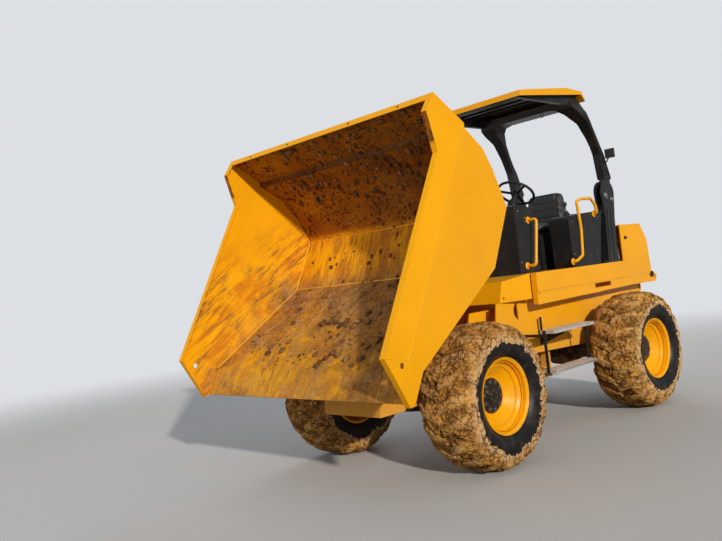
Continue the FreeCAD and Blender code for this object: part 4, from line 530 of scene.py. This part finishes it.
def place_camera():
    back = Vector((
        math.cos(CAMERA_AZIMUTH) * math.cos(CAMERA_ELEVATION),
        math.sin(CAMERA_AZIMUTH) * math.cos(CAMERA_ELEVATION),
        math.sin(CAMERA_ELEVATION),
    ))
    right = (-back).cross(Vector((0, 0, 1))).normalized()
    up = right.cross(-back)
    rolled_right = math.cos(CAMERA_ROLL) * right + math.sin(CAMERA_ROLL) * up
    rolled_up = -math.sin(CAMERA_ROLL) * right + math.cos(CAMERA_ROLL) * up
    lens = bpy.data.cameras.new("camera")
    lens.sensor_width = SENSOR
    lens.lens = FOCAL_PIXELS * SENSOR / FRAME_WIDTH
    lens.clip_end = 200.0
    camera = placed("camera", lens)
    turn = Matrix((rolled_right, rolled_up, back)).transposed()
    camera.matrix_world = Matrix.Translation(CAMERA_PLACE) @ turn.to_4x4()
    bpy.context.scene.camera = camera


def area_lamp(name, place, target, size, power):
    light = bpy.data.lights.new(name, "AREA")
    light.shape = "SQUARE"
    light.size = size
    light.energy = power
    lamp = placed(name, light)
    lamp.location = place
    lamp.rotation_euler = (Vector(target) - Vector(place)).to_track_quat("-Z", "Y").to_euler()


def studio():
    """Pale floor, pale world and soft lamps: the strongest from the machine's left front."""
    world = bpy.data.worlds.new("studio")
    bpy.context.scene.world = world
    world.use_nodes = True
    tree = world.node_tree
    shown = tree.nodes["Background"]
    shown.inputs["Color"].default_value = BACKDROP + (1,)
    shown.inputs["Strength"].default_value = 1.0
    soft = tree.nodes.new("ShaderNodeBackground")
    soft.inputs["Color"].default_value = SKY_TINT + (1,)
    soft.inputs["Strength"].default_value = SKY_POWER
    path = tree.nodes.new("ShaderNodeLightPath")
    both = tree.nodes.new("ShaderNodeMixShader")
    tree.links.new(path.outputs["Is Camera Ray"], both.inputs[0])
    tree.links.new(soft.outputs[0], both.inputs[1])
    tree.links.new(shown.outputs[0], both.inputs[2])
    tree.links.new(both.outputs[0], tree.nodes["World Output"].inputs["Surface"])
    bpy.ops.mesh.primitive_plane_add(size=90.0, location=(0, 0, 0))
    floor = bpy.context.object
    floor.name = "studio_floor"
    ground = Finish("studio_floor", rough=0.9)
    pale = ground.mix(ground.noise(0.6, 3.0), (0.54, 0.53, 0.51), (0.58, 0.57, 0.55))
    seen = ground.add("ShaderNodeLightPath").outputs["Is Camera Ray"]
    ground.colour(ground.mix(seen, UNSEEN_FLOOR, pale))
    # Far from the object the floor fades into the backdrop's own colour
    x, y, z = ground.part(ground.place)
    fade = ground.step(ground.distance(x, y), FADE_START, FADE_END)
    shine = ground.add("ShaderNodeEmission")
    shine.inputs["Color"].default_value = BACKDROP + (1,)
    blend = ground.add("ShaderNodeMixShader")
    output = ground.tree.nodes["Material Output"]
    ground.tree.links.new(fade, blend.inputs[0])
    ground.tree.links.new(ground.shader.outputs[0], blend.inputs[1])
    ground.tree.links.new(shine.outputs[0], blend.inputs[2])
    ground.tree.links.new(blend.outputs[0], output.inputs["Surface"])
    floor.data.materials.append(ground.material)
    sun = bpy.data.lights.new("key", "SUN")
    sun.energy = KEY_POWER
    sun.angle = KEY_SPREAD
    sun.color = KEY_TINT
    placed("key", sun).rotation_euler = Vector(KEY_FROM).to_track_quat("Z", "Y").to_euler()
    area_lamp("fill", (9.5, -2.0, 4.5), (0.5, 0.0, 1.2), 6.0, 160.0)
    area_lamp("back", (-7.0, -5.0, 6.0), (0.0, 0.0, 1.4), 5.0, 220.0)


def plain_finishes():
    yellow = yellow_paint()
    give(yellow, "rear_frame", "frame_sides", "side_decks", "platform", "engine_hood")
    give(yellow, "front_frame", "handrails")
    give(roof_paint(), "roof_skin")
    give(skip_paint(), "skip_tub", "skip_frame")
    give(black_paint(dusty=0.15), "roll_bar", "lower_posts", "step_stiles", "side_tank", "mirror")
    give(grained_plastic(), "front_console", "moulded_covers", "seat_base", "steering_wheel")
    give(seat_vinyl(), "seat_cushion", "seat_back")
    iron = dusty_iron("chassis_black", (0.016, 0.015, 0.014), 0.8)
    give(iron, "front_axle", "rear_axle", "centre_pivot", "steering_ram_barrel")
    give(iron, "tip_ram_left_barrel", "tip_ram_right_barrel")
    give(dusty_iron("engine_iron", (0.06, 0.06, 0.06), 0.4), "engine_block", "gearbox")
    chrome = bright_metal("ram_chrome", (0.72, 0.72, 0.74), 0.12)
    give(chrome, "tip_ram_left_rod", "tip_ram_right_rod", "steering_ram_rod")
    give(bright_metal("tread_alloy", (0.80, 0.77, 0.70), 0.42, 0.75, 0.35), "step_treads")
    give(lamp_glass(), "rear_lamps")
    hub = dusty_iron("hub_black", (0.012, 0.010, 0.009), 0.12, 0.35)
    mud = rubber_and_mud()
    for corner, (x, y) in WHEELS.items():
        give(rim_paint(f"rim_{corner}", (x, y, AXLE_HEIGHT)), f"rim_{corner}")
        give(hub, f"hub_{corner}")
        give(mud, f"tyre_{corner}")


# Tyres: a carcass with raised lugs, caked in soil

CARCASS = [  # across from the wheel's centre, radius
    (0.196, 0.301), (0.210, 0.312), (0.222, 0.325), (0.234, 0.343), (0.243, 0.365), (0.250, 0.410),
    (0.244, 0.450), (0.228, 0.490), (0.203, 0.525), (0.170, 0.548), (0.120, 0.560), (0.060, 0.5635),
    (0.0, 0.5645),
]
CROWN = [  # across, radius of the lugs' tops
    (0.0, 0.586), (0.06, 0.584), (0.12, 0.575), (0.17, 0.562), (0.205, 0.540), (0.214, 0.524),
    (0.232, 0.500),
]
LUG_COUNT = 20
LUG_SWEEP = 0.096
LUG_REACH = 0.226
LUG_SLOPE = LUG_SWEEP / TYRE_RADIUS / LUG_REACH
LUG_HALF = 0.036
LUG_FLANK = 0.014
SHOULDER = 0.205
SHOULDER_LUG = 0.020
WIDEST = 0.2575
MUD_EDGE = 0.408
MUD_FADE = 0.022
AROUND = 560
RING_STEP = 0.008


def tyre_piece(corner, seed):
    """Tyre mesh: rings of vertices along the carcass, pushed out by swept lugs and clods of soil."""
    fine = []
    for (w0, r0), (w1, r1) in zip(CARCASS, CARCASS[1:]):
        steps = max(1, round(math.hypot(w1 - w0, r1 - r0) / RING_STEP))
        fine += [(w0 + (w1 - w0) * k / steps, r0 + (r1 - r0) * k / steps) for k in range(steps)]
    fine.append(CARCASS[-1])
    profile = fine + [(-w, r) for w, r in reversed(fine[:-1])]
    across = np.array([w for w, r in profile])
    radius = np.array([r for w, r in profile])
    # Outward direction of the profile at each ring
    dw, dr = np.gradient(across), np.gradient(radius)
    length = np.hypot(dw, dr)
    out_w, out_r = dr / length, -dw / length
    angle = np.linspace(0.0, 2 * math.pi, AROUND, endpoint=False)
    rings, turns = len(profile), AROUND
    theta = np.tile(angle, (rings, 1))
    wide = np.abs(across)[:, None]
    # Swept lugs: the two sides alternate by half a pitch
    pitch = 2 * math.pi / LUG_COUNT
    half_pitch = np.where(across < 0, pitch / 2, 0.0)[:, None]
    phase = (theta - math.pi / 2 - LUG_SLOPE * wide - half_pitch + pitch / 2) % pitch - pitch / 2
    off_centre = np.abs(phase) * radius[:, None]
    bar = np.clip((LUG_HALF + LUG_FLANK / 2 - off_centre) / LUG_FLANK, 0, 1)
    bar = bar * bar * (3 - 2 * bar)
    shoulder = np.clip((radius[:, None] - 0.492) / 0.022, 0, 1)
    lug = bar * shoulder
    crown = np.interp(np.abs(across), *zip(*CROWN))[:, None]
    crown_height = np.where(wide < SHOULDER, crown - radius[:, None], SHOULDER_LUG)
    x0, y0 = WHEELS[corner]
    lift = np.zeros((rings, turns))
    mud = np.zeros((rings, turns))
    soil_edge = np.zeros((rings, turns))
    for i in range(rings):
        for j in range(turns):
            r, w, t = radius[i], across[i], angle[j]
            spot = Vector((r * math.cos(t) + seed * 7.3, w, r * math.sin(t)))
            coarse = noise.fractal(spot * 6.5, 0.9, 2.1, 3)
            rough = noise.fractal(spot * 30.0, 0.75, 2.2, 4)
            edge = MUD_EDGE + 0.030 * coarse + 0.022 * rough
            cover = min(max((r - edge) / MUD_FADE, 0.0), 1.0)
            mud[i, j] = cover
            soil_edge[i, j] = math.exp(-(((r - edge - 0.030) / 0.038) ** 2)) * (r > edge)
            lift[i, j] = cover * (0.006 + 0.013 * coarse + 0.0105 * rough)
    # Soil packs the grooves unevenly and leaves lug crowns thinly coated
    packing = np.clip(lift * 1.15, -0.002, 0.019)
    lift = packing * (1 - 0.75 * lug) + lug * (np.clip(crown_height, 0.0, 0.03) - 0.0015 + 0.10 * lift)
    # groove: open grooves between lugs, which the tyre's material darkens as painted shade
    groove = np.clip(1.0 - lug, 0, 1) * np.clip(1.0 - packing / 0.012, 0, 1) * shoulder
    reach = np.clip(lift, -0.004, None)
    rr = radius[:, None] + reach * out_r[:, None]
    ww = across[:, None] + reach * out_w[:, None]
    rr = np.minimum(rr, TYRE_RADIUS)
    ww = np.clip(ww, -WIDEST, WIDEST)
    turn = 1 if y0 > 0 else -1
    spots = np.stack([x0 + rr * np.cos(theta), y0 + turn * ww, AXLE_HEIGHT + rr * np.sin(theta)], axis=-1)
    faces = []
    for i in range(rings - 1):
        for j in range(turns):
            k = (j + 1) % turns
            quad = (i * turns + j, i * turns + k, (i + 1) * turns + k, (i + 1) * turns + j)
            faces.append(quad if turn > 0 else quad[::-1])
    mesh = bpy.data.meshes.new(f"muddy_tyre_{corner}")
    mesh.from_pydata(spots.reshape(-1, 3).tolist(), [], faces)
    for name, amounts in (("mud", mud), ("groove", groove), ("soil_edge", soil_edge), ("lug", lug)):
        layer = mesh.attributes.new(name, "FLOAT", "POINT")
        layer.data.foreach_set("value", amounts.reshape(-1).astype(np.float32))
    smoothed(mesh)
    mesh.update()
    piece = placed(f"muddy_tyre_{corner}", mesh)
    mesh.materials.append(bpy.data.materials["tyre_mud"])
    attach(piece, f"wheel_{corner}")
    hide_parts(f"tyre_{corner}")


# Added pieces: trim that stands on the solids

SHARP_ANGLE = math.radians(38)


class Trim:
    """One mesh made of turned parts, tubes and blocks, which becomes one piece."""

    def __init__(self):
        self.mesh = bmesh.new()

    def rings(self, loops, closed=False, capped=True):
        """Skin a list of equal loops of points; capped fills the first and last."""
        rows = [[self.mesh.verts.new(spot) for spot in loop] for loop in loops]
        pairs = list(zip(rows, rows[1:])) + ([(rows[-1], rows[0])] if closed else [])
        count = len(rows[0])
        for near, far in pairs:
            for i in range(count):
                j = (i + 1) % count
                self.mesh.faces.new((near[i], near[j], far[j], far[i]))
        if capped and not closed:
            self.mesh.faces.new(rows[0][::-1])
            self.mesh.faces.new(rows[-1])

    def turned(self, profile, place, axis, sides=20, closed=False):
        """Turn (distance along the axis, radius) about the axis through place."""
        along = Vector(axis).normalized()
        side = along.orthogonal().normalized()
        up = along.cross(side)
        place = Vector(place)
        self.rings([circle(place + w * along, r, side, up, sides) for w, r in profile], closed)

    def tube(self, points, radius, sides=10):
        points = [Vector(p) for p in points]
        side = (points[1] - points[0]).orthogonal().normalized()
        loops = []
        for i, spot in enumerate(points):
            ahead = (points[min(i + 1, len(points) - 1)] - points[max(i - 1, 0)]).normalized()
            side = (side - side.dot(ahead) * ahead).normalized()
            loops.append(circle(spot, radius, side, ahead.cross(side), sides))
        self.rings(loops)

    def block(self, low, high, soften=0.002):
        made = bmesh.ops.create_cube(self.mesh, size=1.0)["verts"]
        low, high = Vector(low), Vector(high)
        for vert in made:
            vert.co = Vector(((low[k] + high[k]) / 2 + vert.co[k] * (high[k] - low[k])) for k in range(3))
        edges = list({edge for vert in made for edge in vert.link_edges})
        bmesh.ops.bevel(self.mesh, geom=edges, offset=soften, segments=2, affect="EDGES")

    def on_both_sides(self, profile, x, y, z, sides):
        """The same turned part on the left face at y and on the right one at -y."""
        for side in (1, -1):
            self.turned(profile, (x, side * y, z), (0, side, 0), sides)

    def bolt(self, place, axis, radius, high):
        """Washer under a six-sided head."""
        wide = 1.45 * radius
        self.turned([(-0.001, wide), (0.0014, wide), (0.0018, 0.94 * wide)], place, axis, 18)
        self.turned([(0.001, radius), (high, radius), (high + 0.0012, 0.84 * radius)], place, axis, 6)

    def piece(self, name, body, slot, finish):
        mesh = bpy.data.meshes.new(name)
        bmesh.ops.recalc_face_normals(self.mesh, faces=self.mesh.faces)
        self.mesh.to_mesh(mesh)
        self.mesh.free()
        mesh.materials.append(bpy.data.materials[finish])
        made = placed(name, mesh)
        smoothed(mesh)
        mesh.set_sharp_from_angle(angle=SHARP_ANGLE)
        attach(made, body)


RIM_RINGS = [  # sections of the rolled rings: across, radius
    [(0.2065, 0.292), (0.2095, 0.2955), (0.2095, 0.300), (0.2055, 0.3015), (0.203, 0.2995)],
    [(0.166, 0.272), (0.1735, 0.2665), (0.1735, 0.2625), (0.1655, 0.260), (0.154, 0.265), (0.154, 0.272)],
    [(0.128, 0.2405), (0.1345, 0.2360), (0.1345, 0.2320), (0.1255, 0.2290), (0.118, 0.2340)],
    [(0.058, 0.1585), (0.0665, 0.1560), (0.0680, 0.1515), (0.0640, 0.1455), (0.058, 0.1455)],
]
NUT_CIRCLE = 0.110
HUB_SCREW_CIRCLE = 0.040


def wheel_trim(corner):
    """Rolled rings inside the rim, wheel nuts and hub screws."""
    x, y = WHEELS[corner]
    side = 1 if y > 0 else -1
    place, axis = (x, y, AXLE_HEIGHT), (0, side, 0)
    rings = Trim()
    for section in RIM_RINGS:
        rings.turned(section, place, axis, 96, closed=True)
    rings.piece(f"rim_rings_{corner}", f"wheel_{corner}", "yellow_paint", f"rim_{corner}")
    nuts = Trim()

    def around(radius, out, share):
        turn = 2 * math.pi * share
        return x + radius * math.cos(turn), y + side * out, AXLE_HEIGHT + radius * math.sin(turn)

    for k in range(10):
        spot = around(NUT_CIRCLE, 0.074, (k + 0.3) / 10)
        nuts.turned([(-0.004, 0.0165), (0.002, 0.0165), (0.003, 0.0150)], spot, axis, 16)
        nuts.turned([(0.001, 0.0125), (0.009, 0.0125), (0.0105, 0.0105)], spot, axis, 6)
        nuts.turned([(0.009, 0.0065), (0.0135, 0.0065), (0.0145, 0.0050)], spot, axis, 12)
    for k in range(6):
        nuts.bolt(around(HUB_SCREW_CIRCLE, 0.088, (k + 0.5) / 6), axis, 0.0055, 0.004)
    nuts.piece(f"wheel_nuts_{corner}", f"wheel_{corner}", "hub_black", "nut_steel")


PAD_CELLS = 46
PAD_POWER = 5.0
PAD_SWELL = 0.011
CLOTH_FRAMES = 20
CHANNEL_HALF = 0.0065
CHANNEL_DEPTH = 0.0085


def pad(name, node, low, high, seams, up, floor=None):
    """A box rounded by a power law, swelled by cloth pressure, with sewn channels and a piping tube.

    Each seam is a channel on the face that looks along up: axis and place, then the axis and limit
    of its half length.
    """
    low, high = Vector(low), Vector(high)
    middle, half = (low + high) / 2, (high - low) / 2
    count = PAD_CELLS
    numbers = {}
    corners = []

    def vertex(cell):
        if cell not in numbers:
            numbers[cell] = len(corners)
            p = [2.0 * c / count - 1.0 for c in cell]
            p = [math.copysign(abs(c) ** 0.85, c) for c in p]
            size = sum(abs(c) ** PAD_POWER for c in p) ** (1.0 / PAD_POWER)
            corners.append(tuple(middle[k] + half[k] * p[k] / size for k in range(3)))
        return numbers[cell]

    faces = []
    for axis in range(3):
        for end in (0, count):
            for i in range(count):
                for j in range(count):
                    square = []
                    for a, b in ((i, j), (i + 1, j), (i + 1, j + 1), (i, j + 1)):
                        cell = [a, b]
                        cell.insert(axis, end)
                        square.append(vertex(tuple(cell)))
                    faces.append(square if (end > 0) == (axis != 1) else square[::-1])
    mesh = bpy.data.meshes.new(name)
    mesh.from_pydata(corners, [], faces)
    mesh.update()
    piece = placed(name, mesh)
    before = np.array(corners)
    cloth = piece.modifiers.new("swell", "CLOTH")
    cloth.settings.quality = 4
    cloth.settings.mass = 0.3
    cloth.settings.use_pressure = True
    cloth.settings.uniform_pressure_force = 4.0
    cloth.settings.effector_weights.gravity = 0.0
    for step in range(1, CLOTH_FRAMES + 1):
        bpy.context.scene.frame_set(step)
    shaped = piece.evaluated_get(bpy.context.evaluated_depsgraph_get()).to_mesh()
    after = np.array([v.co for v in shaped.vertices])
    piece.modifiers.remove(cloth)
    bpy.context.scene.frame_set(1)
    move = after - before
    length = np.linalg.norm(move, axis=1, keepdims=True)
    after = before + move * np.minimum(1.0, PAD_SWELL / np.maximum(length, 1e-9))
    lift_axis = max(range(3), key=lambda k: abs(up[k]))
    on_top = np.clip(((after - np.array(middle)) @ np.array(up)) / half[lift_axis] * 2 - 0.6, 0, 1)
    for axis, place, limit_axis, limit in seams:
        near = np.exp(-(((after[:, axis] - place) / CHANNEL_HALF) ** 2))
        held = np.abs(after[:, limit_axis] - middle[limit_axis]) < limit
        after -= np.outer(near * on_top * held * CHANNEL_DEPTH, up)
    if floor is not None:
        after[:, 2] = np.maximum(after[:, 2], floor)
    mesh.vertices.foreach_set("co", after.reshape(-1))
    smoothed(mesh)
    mesh.update()
    smooth = piece.modifiers.new("smooth", "SUBSURF")
    smooth.levels = smooth.render_levels = 1
    mesh.materials.append(bpy.data.materials["seat_vinyl"])
    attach(piece, "rear")
    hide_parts(node)
    # Piping along the edge of the upper face
    level = round(count * 0.84) if up[lift_axis] > 0 else round(count * 0.16)
    loop = [after[number] for cell, number in numbers.items() if cell[lift_axis] == level]
    flat = [k for k in range(3) if k != lift_axis]
    loop.sort(key=lambda spot: math.atan2(*((spot[k] - middle[k]) / half[k] for k in flat)))
    trim = Trim()
    trim.tube(loop + loop[:1], 0.0035, 8)
    trim.piece(f"{name}_piping", "rear", "seat_vinyl", "seat_vinyl")


def seat_pads():
    borders = [(1, 0.158, 0, 0.30), (1, -0.158, 0, 0.30)]
    channels = [(0, x, 1, 0.155) for x in (-1.235, -1.125, -1.015)]
    pad("seat_pad", "seat_cushion", (-1.366, -0.238, 1.888), (-0.882, 0.238, 1.978), borders + channels,
        (0.0, 0.0, 1.0), 1.8825)
    borders = [(1, 0.150, 2, 0.30), (1, -0.150, 2, 0.30)]
    channels = [(2, z, 1, 0.148) for z in (2.050, 2.130, 2.210)]
    pad("seat_back_pad", "seat_back", (-1.448, -0.226, 1.938), (-1.358, 0.226, 2.325), borders + channels,
        (1.0, 0.0, 0.0))


def cab_trim():
    """Rail feet, console screws and seams, lever, and switches."""
    feet = Trim()
    foot = [(0.0, 0.034), (0.005, 0.034), (0.007, 0.031), (0.007, 0.016)]
    for spot in RAIL_FEET:
        feet.turned(foot, spot, (0, 1, 0), 28)
    feet.piece("rail_feet", "rear", "yellow_paint", "yellow")
    screws = Trim()
    console_screw = [(0.0, 0.008), (0.0025, 0.008), (0.004, 0.0045), (0.0025, 0.0042)]
    for x, z in ((-0.262, 2.022), (-0.262, 1.985), (-0.13, 1.60), (-0.16, 2.09)):
        screws.on_both_sides(console_screw, x, CONSOLE_SIDE, z, 16)
    cover_screw = [(0.0, 0.007), (0.002, 0.007), (0.0035, 0.004), (0.0022, 0.0038)]
    for x, z in ((-0.86, 1.62), (-0.88, 1.95), (-1.40, 1.98), (-1.30, 1.62)):
        screws.on_both_sides(cover_screw, x, COVER_SIDE, z, 16)
    for x, y, z in RAIL_FEET[:2]:
        for shift in (0.024, -0.024):
            screws.bolt((x + shift, y + 0.006, z), (0, 1, 0), 0.004, 0.003)
    screws.piece("cab_screws", "rear", "ram_chrome", "nut_bright")
    seams = Trim()
    for side in (1, -1):
        console = side * (CONSOLE_SIDE + 0.0005)
        cover = side * (COVER_SIDE + 0.0005)
        for points in (
            [(-0.405, console, 1.52), (-0.352, console, 2.03), (-0.30, console, 2.125)],
            [(-0.14, console, 1.535), (-0.405, console, 1.535)],
            [(-0.825, cover, 1.93), (-1.45, cover, 1.965)],
            [(-1.09, cover, 1.50), (-1.12, cover, 1.945)],
        ):
            seams.tube(points, 0.0028, 6)
    # Lever with a pleated boot on the left console, and rocker switches beside it
    boot = [(0.0, 0.046)]
    for fold in range(5):
        wide = 0.044 - 0.006 * fold
        boot += [(0.006 + 0.011 * fold, wide), (0.011 + 0.011 * fold, wide - 0.009)]
    seams.turned(boot, (-0.97, 0.50, 2.012), (0.12, 0, 1), 24)
    seams.tube([(-0.965, 0.50, 2.05), (-0.955, 0.50, 2.12)], 0.006, 12)
    knob = [(0.0, 0.008), (0.008, 0.019), (0.024, 0.023), (0.040, 0.019), (0.048, 0.008)]
    seams.turned(knob, (-0.955, 0.50, 2.115), (0.1, 0, 1), 20)
    for k in range(3):
        rear = -1.10 - 0.045 * k
        seams.block((rear, 0.475, 2.020), (rear + 0.032, 0.515, 2.034), 0.003)
    seams.piece("cab_seams_and_lever", "rear", "black_plastic", "black_plastic")


def body_trim():
    """Bolts on the frame sides and skirts, latch bar, tie-down eyes, and hood handles."""
    bolts = Trim()
    for side in (1, -1):
        for x, z in ((0.121, 1.294), (-0.055, 1.291), (0.215, 1.298), (-0.83, 0.86), (-0.83, 0.80)):
            bolts.bolt((x, side * FRAME_SIDE, z), (0, side, 0), 0.008, 0.006)
    button = [(-0.001, 0.010), (0.002, 0.010), (0.0045, 0.006)]
    for k in range(7):
        bolts.on_both_sides(button, -0.30 - 0.26 * k, SKIRT_SIDE, 1.468, 14)
    small_button = [(-0.001, 0.009), (0.002, 0.009), (0.004, 0.005)]
    for z in (1.452, 1.405, 1.300):
        bolts.on_both_sides(small_button, -0.150, SKIRT_SIDE, z, 14)
    bolts.piece("body_bolts", "rear", "yellow_paint", "yellow_bolts")
    dark = Trim()
    dark.block((-0.318, FRAME_SIDE, 0.895), (-0.290, FRAME_SIDE + 0.014, 1.060), 0.004)
    dark.bolt((-0.304, FRAME_SIDE + 0.014, 1.042), (0, 1, 0), 0.007, 0.005)
    dark.block((-0.330, FRAME_SIDE, 0.885), (-0.278, FRAME_SIDE + 0.032, 0.905), 0.003)
    eye = [(0.0, 0.034), (0.006, 0.034), (0.008, 0.031), (0.008, 0.022), (0.002, 0.021)]
    dark.on_both_sides(eye, -2.455, SKIRT_SIDE, 1.300, 28)
    dark.piece("latch_bar_and_eyes", "rear", "black_paint", "black_paint")
    handles = Trim()
    stem = [(0.0, 0.021), (0.004, 0.021), (0.006, 0.017), (0.013, 0.012), (0.016, 0.009)]
    handles.on_both_sides(stem, -1.93, POST_SIDE, 1.74, 24)
    for side in (1, -1):
        low, high = sorted((side * POST_SIDE, side * (POST_SIDE + 0.018)))
        handles.block((-1.96, low, 1.735), (-1.90, high, 1.745), 0.002)
    handles.piece("hood_handles", "hood", "black_paint", "black_paint")


def step_trim():
    """Raised grip studs and a toothed nosing on each tread."""
    grip = Trim()
    stud = [(0.0, 0.0075), (0.0028, 0.0062), (0.0036, 0.0045), (0.0012, 0.0030)]
    for top in TREAD_TOPS:
        for i in range(23):
            for j in range(4):
                spot = (-0.712 + 0.0295 * i, 0.660 + 0.034 * j + 0.004 * (i % 2), top - 0.0005)
                grip.turned(stud, spot, (0, 0, 1), 10)
        for i in range(34):
            x = -0.724 + 0.0203 * i
            grip.block((x, 0.7885, top - 0.024), (x + 0.012, 0.7925, top + 0.0025), 0.0012)
    grip.piece("tread_grip", "rear", "tread_alloy", "tread_alloy")


def oval(x, y, z, half_x, half_z):
    """Points of a closed upright oval."""
    turns = np.linspace(0, 2 * math.pi, 25)
    return [(x + half_x * math.cos(t), y, z + half_z * math.sin(t)) for t in turns]


def post_trim():
    """Pressed ribs on the posts and legs, fold pins with clips, a loop under the roof, and mirror glass."""
    posts = Trim()
    for side in (1, -1):
        y = side * POST_SIDE
        for shift in (-0.040, 0.040):
            lean = ((-1.617, 1.515), (-1.640, 1.80), (-1.660, 2.070))
            posts.tube([(x + shift, y, z) for x, z in lean], 0.0105, 12)
        for x in (-1.723, -1.488):
            posts.bolt((x, side * 0.580, 1.506), (0, 0, 1), 0.010, 0.008)
    posts.piece("post_ribs", "rear", "black_paint", "post_black")
    legs = Trim()
    for side in (1, -1):
        for share in (0.26, 0.74):
            points = [(front + share * (rear - front), side * POST_SIDE, z) for z, front, rear in LEG_EDGES]
            legs.tube(points, 0.0075, 10)
    legs.tube(oval(-1.00, 0.33, 3.105, 0.028, 0.030), 0.004, 8)
    legs.piece("leg_ribs", "roll_bar", "black_paint", "post_black")
    pins = Trim()
    for side in (1, -1):
        for x, z, wide in ((-1.602, 2.215, 0.025), (-1.722, 2.170, 0.021)):
            cap = [(0.0, wide), (0.0045, wide), (0.006, wide - 0.002)]
            stub = [(0.006, 0.0155), (0.0165, 0.0155), (0.019, 0.012)]
            pins.turned(cap + stub, (x, side * (POST_SIDE + 0.0005), z), (0, side, 0), 28)
        pins.tube(oval(-1.602, side * 0.622, 2.192, 0.021, 0.024), 0.0022, 8)
    pins.piece("fold_pin_caps", "rear", "ram_chrome", "nut_bright")
    glass = Trim()
    glass.block((-1.6500, 0.657, 2.604), (-1.6475, 0.744, 2.686), 0.0008)
    glass.piece("mirror_glass", "roll_bar", "ram_chrome", "mirror_glass")


def skip_spot(x, y, z):
    """A place in the skip's level frame, carried to the tipped skip."""
    dx, dz = x - PIVOT_IN_SKIP.x, z - PIVOT_IN_SKIP.z
    ahead = dx * math.cos(TIP_ANGLE) + dz * math.sin(TIP_ANGLE)
    rise = -dx * math.sin(TIP_ANGLE) + dz * math.cos(TIP_ANGLE)
    return TIP_PIVOT + Vector((ahead, y, rise))


def on_fold(side, x):
    """A place just outside the side plate's fold, in the skip's level frame."""
    return x, side * (SKIP_HALF - 0.0005), FOLD_REAR[1] + FOLD_RISE * (x - FOLD_REAR[0])


def skip_trim():
    """Weld beads along the folds and the floor's joints, and black discs in the rear rim, painted shade
    where the rim has holes.
    """
    welds = Trim()

    def bead(start, end, radius):
        start, end = skip_spot(*start), skip_spot(*end)
        count = max(2, round((end - start).length / 0.012))
        points = []
        for k in range(count + 1):
            spot = start.lerp(end, k / count)
            ripple = 0.0008 * noise.noise(spot * 60.0)
            points.append(spot + Vector((ripple, ripple, -ripple)))
        welds.tube(points, radius, 6)

    for side in (1, -1):
        crease = on_fold(side, FOLD_FRONT)
        bead(on_fold(side, -0.30), crease, 0.0030)
        bead((1.556, side * (SKIP_HALF - 0.0005), 0.945), crease, 0.0030)
        bead(crease, (1.735, side * 1.2405, 0.640), 0.0030)
        inner = side * FLOOR_HALF
        bead((0.02, inner, 0.0125), (0.515, inner, 0.0125), 0.0055)
        bead((0.520, inner, 0.0130), (1.495, side * 1.225, 0.578), 0.0055)
        bead((0.004, inner, 0.0125), (-0.173, side * 1.202, 0.284), 0.0055)
    for x in (0.006, FLOOR_END - 0.003):
        bead((x, -1.17, 0.0115), (x, 1.17, 0.0115), 0.0050)
    welds.piece("skip_welds", "skip", "skip_paint", "skip_paint")
    # Black discs on the rear rim: painted shade standing in for the rim's holes
    hole_shades = Trim()
    x, z = RIM_MIDDLE
    for y in (-0.92, -0.385, 0.385, 0.92):
        place = skip_spot(x, y, z)
        out = (skip_spot(x + RIM_OUT[0], y, z + RIM_OUT[1]) - place).normalized()
        hole_shades.turned([(-0.004, 0.0105), (0.0012, 0.0105), (0.0018, 0.0080)], place, out, 14)
    hole_shades.piece("rim_hole_shades", "skip", "black_paint", "black_paint")


def skip_clods():
    """Clods of soil that cling to the skip: lumps pressed flat against its inside."""
    chance = np.random.default_rng(41)
    made = bmesh.new()
    for start, end, half, count, small, large in CLOD_ZONES:
        start, end = Vector((start[0], 0, start[1])), Vector((end[0], 0, end[1]))
        along = (end - start).normalized()
        inward = Vector((-along.z, 0, along.x))
        if inward.dot(Vector(SKIP_MIDDLE) - start) < 0:
            inward = -inward
        for k in range(count):
            share, across = chance.random(), chance.normal(0.15, 0.55) * half
            size = small + (large - small) * chance.random() ** 2.6
            spot = start.lerp(end, share) + inward * (SKIP_WALL + 0.004)
            spot.y = max(-half, min(half, across))
            stretch = 1.0 + 0.5 * chance.random()
            lump = bmesh.ops.create_icosphere(made, subdivisions=2, radius=1.0)["verts"]
            shift = Vector(chance.random(3) * 50.0)
            for vert in lump:
                way = vert.co.normalized()
                form = 1.0 + 0.55 * noise.noise(way * 1.6 + shift) + 0.25 * noise.noise(way * 4.0 + shift)
                local = way * form * size
                flat = along * (local.x * stretch) + Vector((0, local.y, 0))
                vert.co = skip_spot(*(spot + flat + inward * max(local.z * 0.75, -0.006)))
    mesh = bpy.data.meshes.new("skip_clods")
    made.to_mesh(mesh)
    made.free()
    smoothed(mesh)
    mesh.materials.append(bpy.data.materials["clod_soil"])
    clods = placed("skip_clods", mesh)
    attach(clods, "skip")


def clod_soil():
    paint = Finish("clod_soil", rough=0.92, shine=0.2)
    dark = paint.step(paint.noise(3.0, 3.0), 0.42, 0.60)
    paint.colour(paint.mix(paint.times(dark, 0.6), soil_colour(paint, 16.0), CLOD))
    paint.bump(paint.noise(90.0, 8.0, 0.75), 0.9, 0.010)
    return paint.material


def trim_finishes():
    clod_soil()
    dusty_iron("nut_steel", (0.055, 0.048, 0.040), 0.25, 0.35)
    bright_metal("nut_bright", (0.70, 0.69, 0.66), 0.28, 0.25)
    bright_metal("mirror_glass", (0.85, 0.87, 0.90), 0.03, 0.0)
    yellow_paint("yellow_bolts", 0.2, 0.9)
    black_paint("post_black", 0.28, 0.25)


place_camera()
studio()
plain_finishes()
trim_finishes()
for number, corner in enumerate(WHEELS):
    tyre_piece(corner, number)
    wheel_trim(corner)
seat_pads()
cab_trim()
body_trim()
step_trim()
post_trim()
skip_trim()
skip_clods()

bpy.context.scene.view_settings.view_transform = "Standard"
